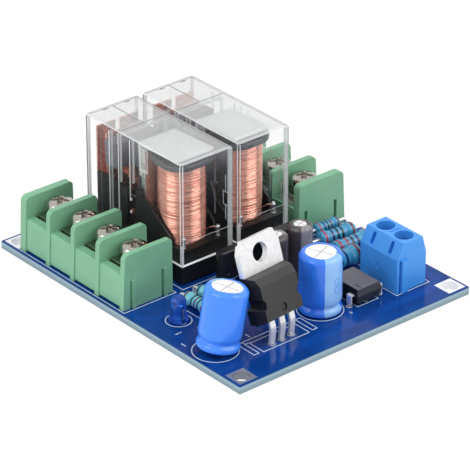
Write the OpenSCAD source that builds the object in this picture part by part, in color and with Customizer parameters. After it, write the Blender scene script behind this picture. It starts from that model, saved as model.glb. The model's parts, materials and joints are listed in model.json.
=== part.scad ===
// Relay module board: two clear-cover relays, barrier terminals and a small supply on one circuit board.
// Millimetres, +Z up. The origin is the centre of the four corner holes, on the underside of the board.
// Places on the board are given from its near left corner, with heights from its top face.

/* [Board] */
// Width of the board
board_w = 57; // [56:0.5:60]
// Depth of the board
board_d = 72; // [71:0.5:76]
// Thickness of the board
board_t = 1.6; // [1.2:0.2:2]
// Distance of each corner hole's centre from the two edges
hole_inset = 2.6; // [2.5:0.1:3]
// Clear diameter of the plated corner holes
hole_d = 3.4; // [3:0.1:3.6]
// Side of the square tinned pad round each corner hole
pad_side = 4.2; // [4.1:0.1:4.6]
// Length of the cut lead ends below the board
tail_h = 1.8; // [1.2:0.1:2.5]

/* [Barrier terminals] */
// Number of ways in each barrier block
barrier_ways = 4; // [4]
// Pitch of the ways
barrier_pitch = 7.62; // [7.62]
// Depth of a barrier block, from the wire side to the back
barrier_depth = 12; // [11.8:0.1:12.8]
// Height of the dividing walls
barrier_h = 11.6; // [11:0.1:13]
// Thickness of a dividing wall
barrier_wall = 1.2; // [1:0.1:1.4]
// Distance of the left block's wire side from the board's edge
left_block_inset = 0.85; // [0.5:0.05:1.2]
// Distance of the right block's wire side from the board's edge
right_block_inset = 0.55; // [0.5:0.05:1.2]
// Near end of both barrier blocks
barrier_y = 34.8; // [34:0.1:36]

/* [Relays] */
// Width of a relay over its cover
relay_w = 12.6; // [12.5:0.1:13]
// Length of a relay over its cover
relay_l = 29.1; // [28.6:0.1:29.3]
// Height of a relay above the board
relay_h = 25.8; // [25.8:0.1:26.2]
// Left side of the left relay
left_relay_x = 15.2; // [15:0.1:15.4]
// Left side of the right relay
right_relay_x = 29.2; // [29.1:0.1:29.6]
// Near face of both relays
relay_y = 34.9; // [34.6:0.1:35.4]
// Diameter of the copper winding
winding_d = 9.6; // [8.5:0.1:9.8]
// Angle that the armature stands open at rest
armature_open = 3; // [2:0.5:3]

/* [Regulator] */
// Angle that the regulator leans back
regulator_lean = 17.6; // [12:0.2:30]
// Angle that the regulator is turned about its middle leg
regulator_turn = 5; // [0:0.5:8]

/* [Capacitors] */
// Outer diameter of a large capacitor
large_cap_d = 8.3; // [8:0.1:8.6]
// Length of a large capacitor
large_cap_h = 12.3; // [11:0.1:13]
// Angle that the near left capacitor leans
cap_lean = 9.7; // [0:0.1:10]
// Outer diameter of a small capacitor
small_cap_d = 4.9; // [4.6:0.1:5]
// Length of a small capacitor
small_cap_h = 11.1; // [9:0.1:12]

/* [Other parts] */
// Diameter of the indicator lamp's lens
lamp_d = 3; // [3]
// Height of the indicator lamp
lamp_h = 5.4; // [5:0.1:6]
// Height of the two-way screw terminal
power_h = 10.3; // [10:0.1:11]
// Length of the control chip
chip_l = 19.8; // [19.4:0.1:20]

/* [Hidden] */
$fn = 48;

// A small overshoot for cuts that pass through a face
eps = 0.1;
// Copper and tin on the board's faces
foil_t = 0.05;
// Thickness of a capacitor's shrunk sleeve
sleeve_t = 0.12;

// Colours as the photo shows them
board_blue = "#0d3c86";
tin = "#c9cbcc";
barrier_green = "#7fb493";
terminal_blue = "#4a90e0";
sleeve_blue = "#4a8cf5";
nickel = "#b9b2a8";
steel = "#a9aaab";
dull_black = "#26272a";
copper_red = "#d98c68";
clear_grey = "#dfe3e6";

// A place on the board, from its near left corner and its top face
function at(x, y, z = 0) = [x - board_w / 2, y - board_d / 2, board_t + z];

// Points along an arc
function arc(cx, cy, r, a0, a1, n = 6) =
  [for (i = [0 : n]) let (a = a0 + (a1 - a0) * i / n) [cx + r * cos(a), cy + r * sin(a)]];

// A box centred in x and y that stands on its base
module block(size, base = [0, 0, 0]) {
  translate([base[0] - size[0] / 2, base[1] - size[1] / 2, base[2]]) cube(size);
}

// A flat shape drawn in x and z, extruded along +y
module side_profile(points, length) {
  translate([0, length, 0]) rotate([90, 0, 0]) linear_extrude(length) polygon(points);
}

// A flat shape drawn in y and z, extruded along +x
module end_profile(points, length) {
  rotate([90, 0, 90]) linear_extrude(length) polygon(points);
}

// A rectangle with round corners, centred
module round_rect(w, d, r) {
  square([w - 2 * r, d], center = true);
  square([w, d - 2 * r], center = true);
  for (sx = [-1, 1], sy = [-1, 1]) translate([sx * (w / 2 - r), sy * (d / 2 - r)]) circle(r);
}

// Corner holes
hole_x = board_w - 2 * hole_inset;
hole_y = board_d - 2 * hole_inset;
function corner_points() = [for (sx = [-1, 1], sy = [-1, 1]) [sx * hole_x / 2, sy * hole_y / 2]];

// Barrier terminals
barrier_thick_wall = 1.7;
barrier_len = barrier_ways * barrier_pitch + barrier_thick_wall;
cell_w = barrier_pitch - barrier_wall;
ledge_z = 7;
seat_z = 6;
seat_x = 2.5;
clamp_x = 6.4;
plate_t = 0.6;
plate_w = 5.6;
clamp_washer_l = 7;
clamp_washer_t = 0.8;
spring_washer_t = 0.9;
clamp_head_d = 5.6;
clamp_head_h = 2.4;
clamp_shank_d = 3;
barrier_pin_x = 10.9;
function way_y(i) = barrier_wall + i * barrier_pitch + cell_w / 2;

// The right block is the left one turned half round
module left_block_place() { translate(at(left_block_inset, barrier_y)) children(); }
module right_block_place() {
  translate(at(board_w - right_block_inset, barrier_y + barrier_len)) rotate(180) children();
}

module barrier_wall_solid(t) {
  lean = 0.5;
  r = 1.2;
  r_back = 0.9;
  side_profile(concat([[0, 0], [barrier_depth, 0]],
    arc(barrier_depth - 0.1 - r_back, barrier_h - r_back, r_back, 0, 90),
    arc(lean + r, barrier_h - r, r, 90, 174)), t);
}

module barrier_cell(w) {
  foot = 0.4;
  front = 0.3;
  side_profile([[front, foot], [front + 0.25, ledge_z - 0.3], [front + 0.55, ledge_z], [seat_x, ledge_z],
    [seat_x, seat_z], [barrier_depth - 0.3, seat_z], [barrier_depth - 0.2, foot]], w);
}

// Ribs on one end and slots in the other join blocks side by side
join_x = [2.2, 9.8];
join_h = 5.8;
module barrier_housing() {
  rib_w = 0.7;
  rib_out = 0.3;
  groove_w = 0.5;
  slot_w = 0.75;
  difference() {
    union() {
      for (i = [0 : barrier_ways - 1]) translate([0, i * barrier_pitch, 0]) barrier_wall_solid(barrier_wall);
      translate([0, barrier_ways * barrier_pitch, 0]) barrier_wall_solid(barrier_thick_wall);
      for (i = [0 : barrier_ways - 1])
        translate([0, i * barrier_pitch + barrier_wall - eps, 0]) barrier_cell(cell_w + 2 * eps);
      for (x = join_x) translate([x, -rib_out, 0]) cube([rib_w, rib_out + eps, join_h]);
    }
    for (x = join_x) translate([x - groove_w, -eps, -eps]) cube([groove_w, 0.35 + eps, join_h + eps]);
    for (x = join_x) translate([x, barrier_len - 0.7, -eps]) cube([slot_w, 0.7 + eps, join_h + eps]);
    for (i = [0 : barrier_ways - 1]) translate([0, way_y(i), 0]) {
      translate([clamp_x, 0, 1.4]) cylinder(h = seat_z, d = clamp_shank_d + 0.6);
      block([plate_t + 0.1, 2.5, seat_z + 2 * eps], [barrier_pin_x, 0, -eps]);
    }
  }
}

// A contact plate lies on the seat, and its leg goes down to the board
module barrier_contact() {
  front = seat_x + 0.2;
  back = barrier_pin_x + plate_t / 2;
  difference() {
    union() {
      translate([front, -plate_w / 2, seat_z]) cube([back - front, plate_w, plate_t]);
      block([plate_t, 2.3, seat_z + eps], [barrier_pin_x, 0, 0]);
      block([plate_t, 1, board_t + eps], [barrier_pin_x, 0, -board_t]);
    }
    translate([clamp_x, 0, seat_z - eps]) cylinder(h = 1, d = clamp_shank_d + 0.1);
  }
}

// Pan head with a cross recess, and its captive spring washer and square washer
module clamp_screw() {
  washer_z = seat_z + plate_t;
  spring_z = washer_z + clamp_washer_t;
  head_z = spring_z + spring_washer_t;
  shank_z = 1.8;
  dome = 0.9;
  r = clamp_head_d / 2;
  translate([clamp_x, 0, 0]) {
    difference() {
      union() {
        translate([0, 0, head_z]) rotate_extrude()
          polygon(concat([[0, 0], [r - 0.15, 0], [r, 0.2]], arc(r - dome, clamp_head_h - dome, dome, 0, 90),
            [[0, clamp_head_h]]));
        translate([0, 0, shank_z]) cylinder(h = head_z - shank_z + eps, d = clamp_shank_d);
      }
      for (a = [45, 135]) rotate(a) block([3.2, 0.8, 2], [0, 0, head_z + clamp_head_h - 1.1]);
    }
    difference() {
      translate([0, 0, spring_z]) cylinder(h = spring_washer_t, d = 5.3);
      translate([0, 0, spring_z - eps]) cylinder(h = 1, d = clamp_shank_d + 0.2);
      translate([0, -0.2, spring_z - eps]) cube([4, 0.4, 1]);
    }
    difference() {
      block([clamp_washer_l, 6, clamp_washer_t], [0, 0, washer_z]);
      translate([0, 0, washer_z - eps]) cylinder(h = 1, d = clamp_shank_d + 0.2);
    }
  }
}

module left_terminal_housing() { color(barrier_green) left_block_place() barrier_housing(); }
module right_terminal_housing() { color(barrier_green) right_block_place() barrier_housing(); }
module barrier_contacts() {
  for (i = [0 : barrier_ways - 1]) translate([0, way_y(i), 0]) barrier_contact();
}
module left_terminal_contacts() { color(tin) left_block_place() barrier_contacts(); }
module right_terminal_contacts() { color(tin) right_block_place() barrier_contacts(); }
module left_clamp_screw(i) { color(nickel) left_block_place() translate([0, way_y(i), 0]) clamp_screw(); }
module right_clamp_screw(i) { color(nickel) right_block_place() translate([0, way_y(i), 0]) clamp_screw(); }

// Two-way screw terminal, wire side to the right
power_x0 = 44.5;
power_x1 = 51.9;
power_y0 = 6.75;
power_l = 10.3;
power_pitch = 5.08;
power_screw_x = 48.5;
power_screw_d = 2.6;
power_head_d = 3.3;
cage_l = 4;
cage_w = 3.9;
cage_h = 4.6;
cage_t = 0.6;
cage_z = 1.2;
power_pin_w = 0.9;
function power_way(i) = power_y0 + power_l / 2 + (i - 0.5) * power_pitch;

module oval_slot(w, l, depth) {
  linear_extrude(depth) {
    square([l - w, w], center = true);
    for (s = [-1, 1]) translate([s * (l - w) / 2, 0]) circle(w / 2);
  }
}

module power_terminal_housing() {
  well_d = 3.7;
  shoulder_z = 7.1;
  slope_x = 46.1;
  slope = atan2(power_h - shoulder_z, slope_x - power_x0);
  tongue_x = 1.0;
  color(terminal_blue) difference() {
    union() {
      translate(at(0, power_y0)) side_profile([[power_x0, 0], [power_x1, 0], [power_x1, 6.8],
        [power_x1 - 1, power_h], [slope_x, power_h], [power_x0, shoulder_z]], power_l);
      translate(at(power_x0 + tongue_x, power_y0 - 0.5)) cube([1.5, 0.6, shoulder_z - 0.3]);
    }
    for (i = [0, 1]) {
      translate(at(power_screw_x, power_way(i), cage_z + cage_h - eps)) cylinder(h = 8, d = well_d);
      translate(at(power_screw_x - cage_l / 2 - 0.1, power_way(i) - cage_w / 2 - 0.1, cage_z - 0.1))
        cube([cage_l + 0.2, cage_w + 0.2, cage_h + 0.2]);
      translate(at(power_screw_x, power_way(i) - 1.8, cage_z + 0.2)) cube([6, 3.6, 4]);
      block([1.2, 1.2, 3], at(power_screw_x, power_way(i), -eps));
      translate(at((power_x0 + slope_x) / 2, power_way(i), (shoulder_z + power_h) / 2))
        rotate([0, -slope, 0]) translate([0, 0, -1]) oval_slot(0.9, 2.6, 3);
    }
    translate(at(power_screw_x - 1.2, power_y0 + power_l / 2 - 0.15, power_h - 0.3)) cube([2.4, 0.3, 1]);
    translate(at(power_x0 + tongue_x - 0.35, power_y0 - eps, -eps)) cube([0.35, 0.4 + eps, shoulder_z - 0.2]);
    translate(at(power_x0 + tongue_x - 0.1, power_y0 + power_l - 0.55, -eps))
      cube([1.7, 1, shoulder_z - 0.2]);
    translate(at(power_x0 - eps, power_y0 + power_l / 2 + 0.3, 3.9)) rotate([0, 90, 0])
      cylinder(h = 0.2 + eps, d = 1.1);
  }
}

module power_terminal_cages() {
  color(tin) for (i = [0, 1]) difference() {
    union() {
      block([cage_l, cage_w, cage_h], at(power_screw_x, power_way(i), cage_z));
      block([power_pin_w, power_pin_w, cage_z + board_t + eps], at(power_screw_x, power_way(i), -board_t));
    }
    block([cage_l + 1, cage_w - 2 * cage_t, cage_h - 2 * cage_t],
      at(power_screw_x, power_way(i), cage_z + cage_t));
    translate(at(power_screw_x, power_way(i), cage_z + cage_h - 1)) cylinder(h = 2, d = power_screw_d + 0.1);
  }
}

module power_clamp_screw(i) {
  head_z = cage_z + cage_h;
  shank_z = cage_z + cage_t + 0.1;
  color(nickel) difference() {
    union() {
      translate(at(power_screw_x, power_way(i), head_z)) cylinder(h = 1.7, d = power_head_d);
      translate(at(power_screw_x, power_way(i), shank_z))
        cylinder(h = head_z - shank_z + eps, d = power_screw_d);
    }
    block([4, 0.6, 2], at(power_screw_x, power_way(i), head_z + 1));
  }
}

// Relays. A relay's own frame has its near left corner at the origin, on the board's top face.
cover_wall = 0.6;
cover_z = 4.2;
relay_mid = relay_w / 2;
coil_y = 7.6;
yoke_z = 4.2;
yoke_t = 1.2;
winding_z0 = 6.3;
winding_z1 = 22.4;
flange_z1 = 23.6;
pole_z = 23.75;
hinge_y = 13.5;
hinge_z = 23.8;
pole_x = [relay_mid - 2.8, relay_mid + 2.8];
contact_z = 10.6;
base_top = 7;
no_face_y = 25.95;
nc_face_y = 23.75;
coil_pin_x = [relay_mid - 4.2, relay_mid + 4.2];
coil_pin_y = 2;
nc_pin_y = 22.9;
no_pin_y = 27.3;
common_pin_y = 19.2;
no_blade_w = 4.4;
blade_top = 23.1;
far_cheek = [17.3, 26.6];
far_cheek_z = 14.2;
side_rib_y = 21.7;
relay_pin_d = 0.9;

module left_relay_place() { translate(at(left_relay_x, relay_y)) children(); }
module right_relay_place() { translate(at(right_relay_x, relay_y)) children(); }

// Clear cover, open below, with the rib that parts the two poles and the ribs under its top
module relay_cover() {
  rib = 0.6;
  top = relay_h - cover_wall;
  guide_y = 12.2;
  color(clear_grey) {
    difference() {
      translate([0, 0, cover_z]) cube([relay_w, relay_l, relay_h - cover_z]);
      translate([cover_wall, cover_wall, cover_z - eps])
        cube([relay_w - 2 * cover_wall, relay_l - 2 * cover_wall, top - cover_z + eps]);
    }
    difference() {
      translate([relay_mid - rib / 2, 20.5, 8.5]) cube([rib, relay_l - 20.5 - eps, top - 8.5 + eps]);
      translate([0, 20, 15.6]) cube([relay_w, 5.7, 7.8]);
    }
    translate([cover_wall - eps, 18.9, top - 0.6]) cube([relay_w - 2 * cover_wall + 2 * eps, 0.7, 0.6 + eps]);
    for (rib_at = [[15.1, 16, 0.5], [18.9, 14.8, 0.7], [side_rib_y, base_top + 0.2, 0.4]])
      for (x = [cover_wall - eps, relay_w - cover_wall - 0.35 + eps])
        translate([x, rib_at[0], rib_at[1]]) cube([0.35, rib_at[2], top - rib_at[1] + eps]);
    for (x = [cover_wall - eps, relay_w - cover_wall - 0.35 + eps], y = [guide_y - 1.2, guide_y + 0.9])
      translate([x, y, relay_h - 6.3]) cube([0.35, 0.4, 6]);
    for (x = [cover_wall - eps, relay_w - cover_wall - 0.35 + eps])
      translate([x, guide_y - 1.2, relay_h - 6.3]) cube([0.35, 2.5, 0.5]);
  }
}

// Base with its sloped cheeks beside the coil, pockets for the yoke and holes for the pins
module relay_base() {
  lip = 0.4;
  inner = cover_wall + 0.1;
  cheek = [[4, base_top - eps], [4.75, 8.9], [13.9, 15.1], [14.8, 15.1], [14.8, base_top - eps]];
  color(dull_black) difference() {
    union() {
      translate([lip, lip, 0.3]) cube([relay_w - 2 * lip, relay_l - 2 * lip, cover_z - 0.3]);
      translate([inner, inner, cover_z - eps])
        cube([relay_w - 2 * inner, relay_l - 2 * inner, base_top - cover_z + eps]);
      for (x = [inner, relay_w - inner - 0.5]) translate([x, 0, 0]) end_profile(cheek, 0.5);
      for (x = [inner, relay_w - inner - 0.6]) translate([x, far_cheek[0], base_top - eps])
        cube([0.6, far_cheek[1] - far_cheek[0], far_cheek_z - base_top + eps]);
      for (x = [1.2, relay_w - 1.2], y = [1.2, relay_l - 1.2]) translate([x, y, 0]) cylinder(h = 1, d = 1.2);
    }
    translate([relay_mid - 5, 2.5, yoke_z]) cube([10, 12, 4]);
    for (x = [inner - eps, relay_w - inner - 0.35])
      translate([x, side_rib_y - 0.15, base_top]) cube([0.35 + eps, 0.7, 10]);
    for (x = coil_pin_x) translate([x, coil_pin_y, -eps]) cylinder(h = 10, d = relay_pin_d);
    for (x = pole_x, y = [nc_pin_y, no_pin_y])
      translate([x, y, -eps]) cylinder(h = cover_z + 2 * eps, d = relay_pin_d);
    for (x = pole_x) translate([x, common_pin_y, -eps]) cylinder(h = 10, d = relay_pin_d);
    for (x = pole_x) {
      block([2.6, 0.4, 4], [x, nc_pin_y, cover_z]);
      block([no_blade_w, 0.4, 4], [x, no_pin_y, cover_z]);
    }
  }
}

module relay_bobbin() {
  color(dull_black) translate([relay_mid, coil_y, 0]) difference() {
    union() {
      translate([0, 0, yoke_z + yoke_t]) linear_extrude(winding_z0 - yoke_z - yoke_t) round_rect(9.8, 9.6, 2);
      translate([0, 0, winding_z0 - eps]) cylinder(h = winding_z1 - winding_z0 + 2 * eps, d = 6);
      translate([0, 0, winding_z1]) linear_extrude(flange_z1 - winding_z1) round_rect(11, 10.6, 4);
    }
    translate([0, 0, yoke_z]) cylinder(h = 20, d = 4.2);
  }
}

module relay_winding() {
  color(copper_red) translate([relay_mid, coil_y, winding_z0]) difference() {
    cylinder(h = winding_z1 - winding_z0, d = winding_d, $fn = 64);
    translate([0, 0, -eps]) cylinder(h = 20, d = 6);
  }
}

module relay_core() {
  color(steel) translate([relay_mid, coil_y, 0]) {
    translate([0, 0, yoke_z + yoke_t]) cylinder(h = pole_z - yoke_z - yoke_t, d = 4.2);
    translate([0, 0, yoke_z]) cylinder(h = yoke_t + eps, d = 3);
  }
}

// Bent steel strip under and behind the coil
module relay_yoke() {
  color(steel) difference() {
    union() {
      translate([relay_mid - 4.7, 2.9, yoke_z]) cube([9.4, 11.2, yoke_t]);
      translate([relay_mid - 4.7, 12.9, yoke_z]) cube([9.4, yoke_t, pole_z - yoke_z]);
    }
    translate([relay_mid, coil_y, yoke_z - eps]) cylinder(h = yoke_t + 2 * eps, d = 3);
  }
}

armature_back = 15.3;
// What the armature carries is drawn closed against the pole, then opened about the yoke's upper edge
module opened() {
  translate([0, hinge_y, hinge_z]) rotate([-armature_open, 0, 0])
    translate([0, -hinge_y, -hinge_z]) children();
}

module relay_armature() {
  plate = 0.8;
  color(steel) opened() {
    translate([relay_mid - 4.5, 3.4, hinge_z]) cube([9, armature_back - 3.4, plate]);
    translate([relay_mid - 4.5, armature_back - plate, 17.5]) cube([9, plate, hinge_z - 17.5 + eps]);
  }
}

blade_y = 24.9;
blade_t = 0.3;

// A stem from the armature ends in a cross bar that pushes both blades
module relay_carrier() {
  bar_y = 21.2;
  bar_z = 17;
  bar_h = 5.2;
  color("#7c8086") opened() {
    translate([relay_mid - 1.6, armature_back, bar_z]) cube([3.2, bar_y - armature_back + eps, bar_h]);
    translate([relay_mid - 5.2, bar_y, bar_z]) cube([10.4, blade_y - bar_y, bar_h]);
  }
}

module contact_button(y, length) {
  rotate([-90, 0, 0]) translate([0, -contact_z, y]) cylinder(h = length, d = 2.2);
}

module relay_moving_contacts() {
  face = no_face_y - 0.07;
  color(copper_red) opened() for (x = pole_x) translate([x, 0, 0]) {
    translate([-1.8, blade_y, 9.2]) cube([3.6, blade_t, blade_top - 9.2]);
    contact_button(blade_y - 0.35, face - blade_y + 0.35);
  }
}

module relay_fixed_contacts() {
  color(copper_red) for (x = pole_x) translate([x, 0, 0]) {
    block([2.6, 0.4, 12 - cover_z], [0, nc_pin_y, cover_z]);
    contact_button(nc_pin_y, nc_face_y - nc_pin_y);
    block([no_blade_w, 0.4, blade_top + 0.4 - cover_z], [0, no_pin_y, cover_z]);
    contact_button(no_face_y, no_pin_y - no_face_y);
    for (y = [nc_pin_y, no_pin_y])
      translate([0, y, -board_t]) cylinder(h = cover_z + board_t + eps, d = relay_pin_d);
    translate([0, common_pin_y, -board_t]) cylinder(h = base_top + 0.8 + board_t, d = relay_pin_d);
  }
}

// Each coil pin narrows to a post above the base, with a drop of solder near its top
module relay_coil_pins() {
  post_d = 0.55;
  post_top = 9.2;
  color(tin) for (x = coil_pin_x) translate([x, coil_pin_y, 0]) {
    translate([0, 0, -board_t]) cylinder(h = board_t + base_top, d = relay_pin_d);
    cylinder(h = post_top, d = post_d);
    translate([0, 0, post_top - 0.4]) sphere(d = 0.8);
  }
}

// Regulator. Its own frame has the front lower edge's middle at the origin, upright, front towards -y.
regulator_leg_x = 16.87;
regulator_leg_y = 8.05;
leg_pitch = 2.54;
regulator_y0 = 6.76;
regulator_z0 = 5.09;
reg_body_h = 9.2;
reg_total_h = 16;
reg_w = 10.2;
reg_depth = 4.5;
reg_tab_t = 1.3;
reg_leg_depth = 1.5;
reg_leg_t = 0.5;

module regulator_turned() {
  translate(at(regulator_leg_x, regulator_leg_y)) rotate(regulator_turn) children();
}
module regulator_leaned() {
  regulator_turned() translate([0, regulator_y0 - regulator_leg_y, regulator_z0])
    rotate([-regulator_lean, 0, 0]) children();
}

// Plastic body: its faces are drafted, and a round notch is cut in each side
reg_inner_half = 3.8;
module regulator_body() {
  front_in = 0.45;
  front_z = reg_depth - reg_tab_t;
  notch_d = 2.4;
  color("#3a3a3c") regulator_leaned() difference() {
    intersection() {
      linear_extrude(reg_body_h) polygon([[-reg_w / 2 + front_in, 0], [reg_w / 2 - front_in, 0],
        [reg_w / 2, 2.4], [reg_w / 2, reg_depth], [-reg_w / 2, reg_depth], [-reg_w / 2, 2.4]]);
      translate([-reg_w / 2 - 1, 0, 0]) end_profile([[0, 0.7], [2.4, 0], [reg_depth, 0],
        [reg_depth, reg_body_h], [front_z, reg_body_h], [0.95, reg_body_h - 0.3], [0, reg_body_h - 1.7]],
        reg_w + 2);
    }
    translate([-reg_inner_half, front_z, 0.4]) cube([2 * reg_inner_half, 5, reg_body_h + 1]);
    for (s = [-1, 1])
      translate([s * (reg_w / 2 + 0.1), -eps, 4]) rotate([-90, 0, 0]) cylinder(h = 6, d = notch_d);
    translate([0, -eps, 2.2]) rotate([-90, 0, 0]) cylinder(h = 0.35 + eps, d = 1.6);
    for (x = [-leg_pitch, 0, leg_pitch]) block([1.3, reg_leg_t, 1.5], [x, reg_leg_depth, -eps]);
    translate([-0.65, reg_leg_depth, 0.5]) cube([1.3, front_z - reg_leg_depth + eps, 0.9]);
  }
}

// A leg from the body down to the board: straight along the lean, then curved back to its hole
function beside(line, h) = [for (i = [0 : len(line) - 1])
  let (step = line[min(i + 1, len(line) - 1)] - line[max(i - 1, 0)])
  line[i] + h * [-step[1], step[0]] / norm(step)];
function strip(line, t) = let (left = beside(line, t / 2), right = beside(line, -t / 2), n = len(line))
  concat(left, [for (i = [0 : n - 1]) right[n - 1 - i]]);

module regulator_leg(offset_x) {
  c = cos(regulator_lean);
  s = sin(regulator_lean);
  exit = [regulator_y0 - regulator_leg_y + reg_leg_depth * c, regulator_z0 - reg_leg_depth * s];
  foot_z = 0.4;
  line = [exit + 1.4 * [s, c], exit, exit - 1.1 * [s, c],
    [-0.24, 2.9], [-0.17, 2], [-0.06, 1.1], [0, foot_z]];
  translate([offset_x - 0.65, 0, 0]) end_profile(strip(line, reg_leg_t), 1.3);
  block([0.8, reg_leg_t, board_t + foot_z + 0.1], [offset_x, 0, -board_t]);
}

// Metal tab with the middle leg; the tab carries the chip inside the body
module regulator_tab() {
  front_z = reg_depth - reg_tab_t;
  top = reg_total_h;
  chamfer_x = 1;
  chamfer_z = 2.36;
  hole_down = 3.3;
  side = reg_w / 2;
  color("#d9dadb") {
    regulator_leaned() difference() {
      translate([0, reg_depth, 0]) rotate([90, 0, 0]) linear_extrude(reg_tab_t) polygon([
        [-reg_inner_half, 0.4], [reg_inner_half, 0.4], [reg_inner_half, reg_body_h], [side, reg_body_h],
        [side, top - chamfer_z], [side - chamfer_x, top], [-side + chamfer_x, top], [-side, top - chamfer_z],
        [-side, reg_body_h], [-reg_inner_half, reg_body_h]]);
      translate([0, 0, top - hole_down]) rotate([-90, 0, 0]) cylinder(h = 9, d = 3.7);
      translate([-6, reg_depth - 0.45, top - 0.8]) cube([12, 1, 2]);
    }
    regulator_leaned() translate([-0.65, reg_leg_depth, 0.5]) cube([1.3, front_z - reg_leg_depth + eps, 0.9]);
    regulator_turned() regulator_leg(0);
  }
}

module regulator_outer_legs() {
  color(tin) regulator_turned() for (x = [-leg_pitch, leg_pitch]) regulator_leg(x);
}

// Capacitors stand on their base at the origin. The sleeve is shrunk over the can's shoulder and lower lip.
large_can = [large_cap_d / 2, large_cap_h];
small_can = [small_cap_d / 2, small_cap_h];
function can_outline(r, h) = concat([[r - 0.7, 0.15]], arc(r - 0.35, 0.5, 0.35, -90, 0, 4),
  [[r - 0.02, 1], [0.94 * r, 1.35], [0.86 * r, 1.7], [0.86 * r, 2], [0.94 * r, 2.45],
    [r - 0.02, 2.9], [r, 3.4]],
  arc(r - 0.9, h - 0.9, 0.9, 0, 75), [[r - 1, h]]);
function inset(points, t) = let (top = points[len(points) - 1][1] - t)
  [for (p = points) [p[0] - t, min(max(p[1], 0.15 + t), top)]];

module can_sleeve(can) {
  outer = can_outline(can[0], can[1]);
  inner = inset(outer, sleeve_t);
  n = len(inner);
  rotate_extrude() polygon(concat(outer, [for (i = [0 : n - 1]) inner[n - 1 - i]]));
}

module can_body(can) {
  inner = inset(can_outline(can[0], can[1]), sleeve_t);
  top = can[1] - sleeve_t;
  vent = can[0] * 1.15;
  difference() {
    rotate_extrude() polygon(concat([[0, 0.15 + sleeve_t]], inner, [[0, top]]));
    for (a = [20, 110]) rotate(a) block([vent, 0.25, 1], [0, 0, top - 0.25]);
  }
}

upright_at = [29.7, 11.8];
leaning_at = [5.35, 12.6];
lean_heading = -11.5;
lean_lift = 0.75;
small_caps_at = [[35.5, 24.3], [29.2, 24.1]];
large_cap_pitch = 3.5;
small_cap_pitch = 2;
lead_d = 0.6;

module leaning_place() {
  translate(at(leaning_at[0], leaning_at[1], lean_lift)) rotate(lean_heading) rotate([0, cap_lean, 0])
    rotate(-lean_heading) children();
}
module leaning_capacitor_sleeve() { color(sleeve_blue) leaning_place() can_sleeve(large_can); }
module leaning_capacitor_can() { color(tin) leaning_place() can_body(large_can); }
module upright_capacitor_sleeve() {
  color(sleeve_blue) translate(at(upright_at[0], upright_at[1], 0.1)) can_sleeve(large_can);
}
module upright_capacitor_can() {
  color(tin) translate(at(upright_at[0], upright_at[1], 0.1)) can_body(large_can);
}
module small_capacitor_sleeves() {
  color("#3b3b3f") for (p = small_caps_at) translate(at(p[0], p[1], 0.1)) can_sleeve(small_can);
}
module small_capacitor_cans() {
  color(tin) for (p = small_caps_at) translate(at(p[0], p[1], 0.1)) can_body(small_can);
}

function leaning_leads() = [for (s = [-1, 1]) [leaning_at[0] + 0.2, leaning_at[1] + s * large_cap_pitch / 2]];
function upright_leads() = [for (s = [-1, 1]) [upright_at[0] + s * large_cap_pitch / 2, upright_at[1]]];
function small_cap_leads() = [for (p = small_caps_at, s = [-1, 1]) [p[0], p[1] + s * small_cap_pitch / 2]];
module capacitor_leads() {
  top = 0.1 + 0.15 + sleeve_t;
  color(tin) {
    for (p = concat(upright_leads(), small_cap_leads()))
      translate(at(p[0], p[1], -board_t)) cylinder(h = board_t + top, d = lead_d);
    difference() {
      for (p = leaning_leads()) translate(at(p[0], p[1], -board_t)) cylinder(h = board_t + 2.5, d = lead_d);
      leaning_place() translate([0, 0, 0.15 + sleeve_t]) cylinder(h = 5, d = 7);
    }
  }
}

// Axial resistors: [x, y, height of the axis, body length, body diameter, lead pitch, heading]
small_resistor_list = [[49, 31.9, 2.9, 5.8, 2.4, 10.16, 0], [11.9, 26.35, 1.6, 6.4, 2.7, 10.16, 90],
  [15.5, 26.7, 1.6, 6.4, 2.7, 10.16, 90]];
power_resistor_list = [[48.5, 28.4, 2.6, 8.2, 3.1, 12.7, -5], [48.5, 24.1, 2.6, 9, 3.1, 12.7, 0],
  [41.4, 19.9, 2.9, 10, 4.1, 14, 0]];

// Bodies bulge at both ends over the lead caps
module resistor_body(r) {
  length = r[3];
  big = r[4] / 2;
  waist = big * 0.86;
  cap = length * 0.2;
  round_r = big * 0.45;
  half = concat([[0, length / 2]], arc(big - round_r, length / 2 - round_r, round_r, 90, 0, 5),
    [[big, length / 2 - cap], [waist, length / 2 - cap - 0.5]]);
  mirrored = [for (i = [len(half) - 1 : -1 : 0]) [half[i][0], -half[i][1]]];
  translate(at(r[0], r[1], r[2])) rotate(r[6]) rotate([0, 90, 0])
    rotate_extrude() polygon(concat(half, mirrored));
}

module resistor_lead_pair(r) {
  bend = 0.8;
  half = r[5] / 2;
  run = half - bend - r[3] / 2;
  translate(at(r[0], r[1], 0)) rotate(r[6]) for (s = [0, 180]) rotate(s) {
    translate([r[3] / 2, 0, r[2]]) rotate([0, 90, 0]) cylinder(h = run, d = lead_d);
    translate([half - bend, 0, r[2] - bend]) rotate([90, 0, 0]) rotate_extrude(angle = 90)
      translate([bend, 0]) circle(d = lead_d);
    translate([half, 0, -board_t]) cylinder(h = board_t + r[2] - bend, d = lead_d);
  }
}
function lead_pair_points(r) = [for (s = [-0.5, 0.5])
  [r[0] + s * r[5] * cos(r[6]), r[1] + s * r[5] * sin(r[6])]];

module small_resistors() { color("#5fb3d6") for (r = small_resistor_list) resistor_body(r); }
module power_resistors() { color("#3f95bd") for (r = power_resistor_list) resistor_body(r); }
module resistor_leads() {
  color(tin) for (r = concat(small_resistor_list, power_resistor_list)) resistor_lead_pair(r);
}

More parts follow.
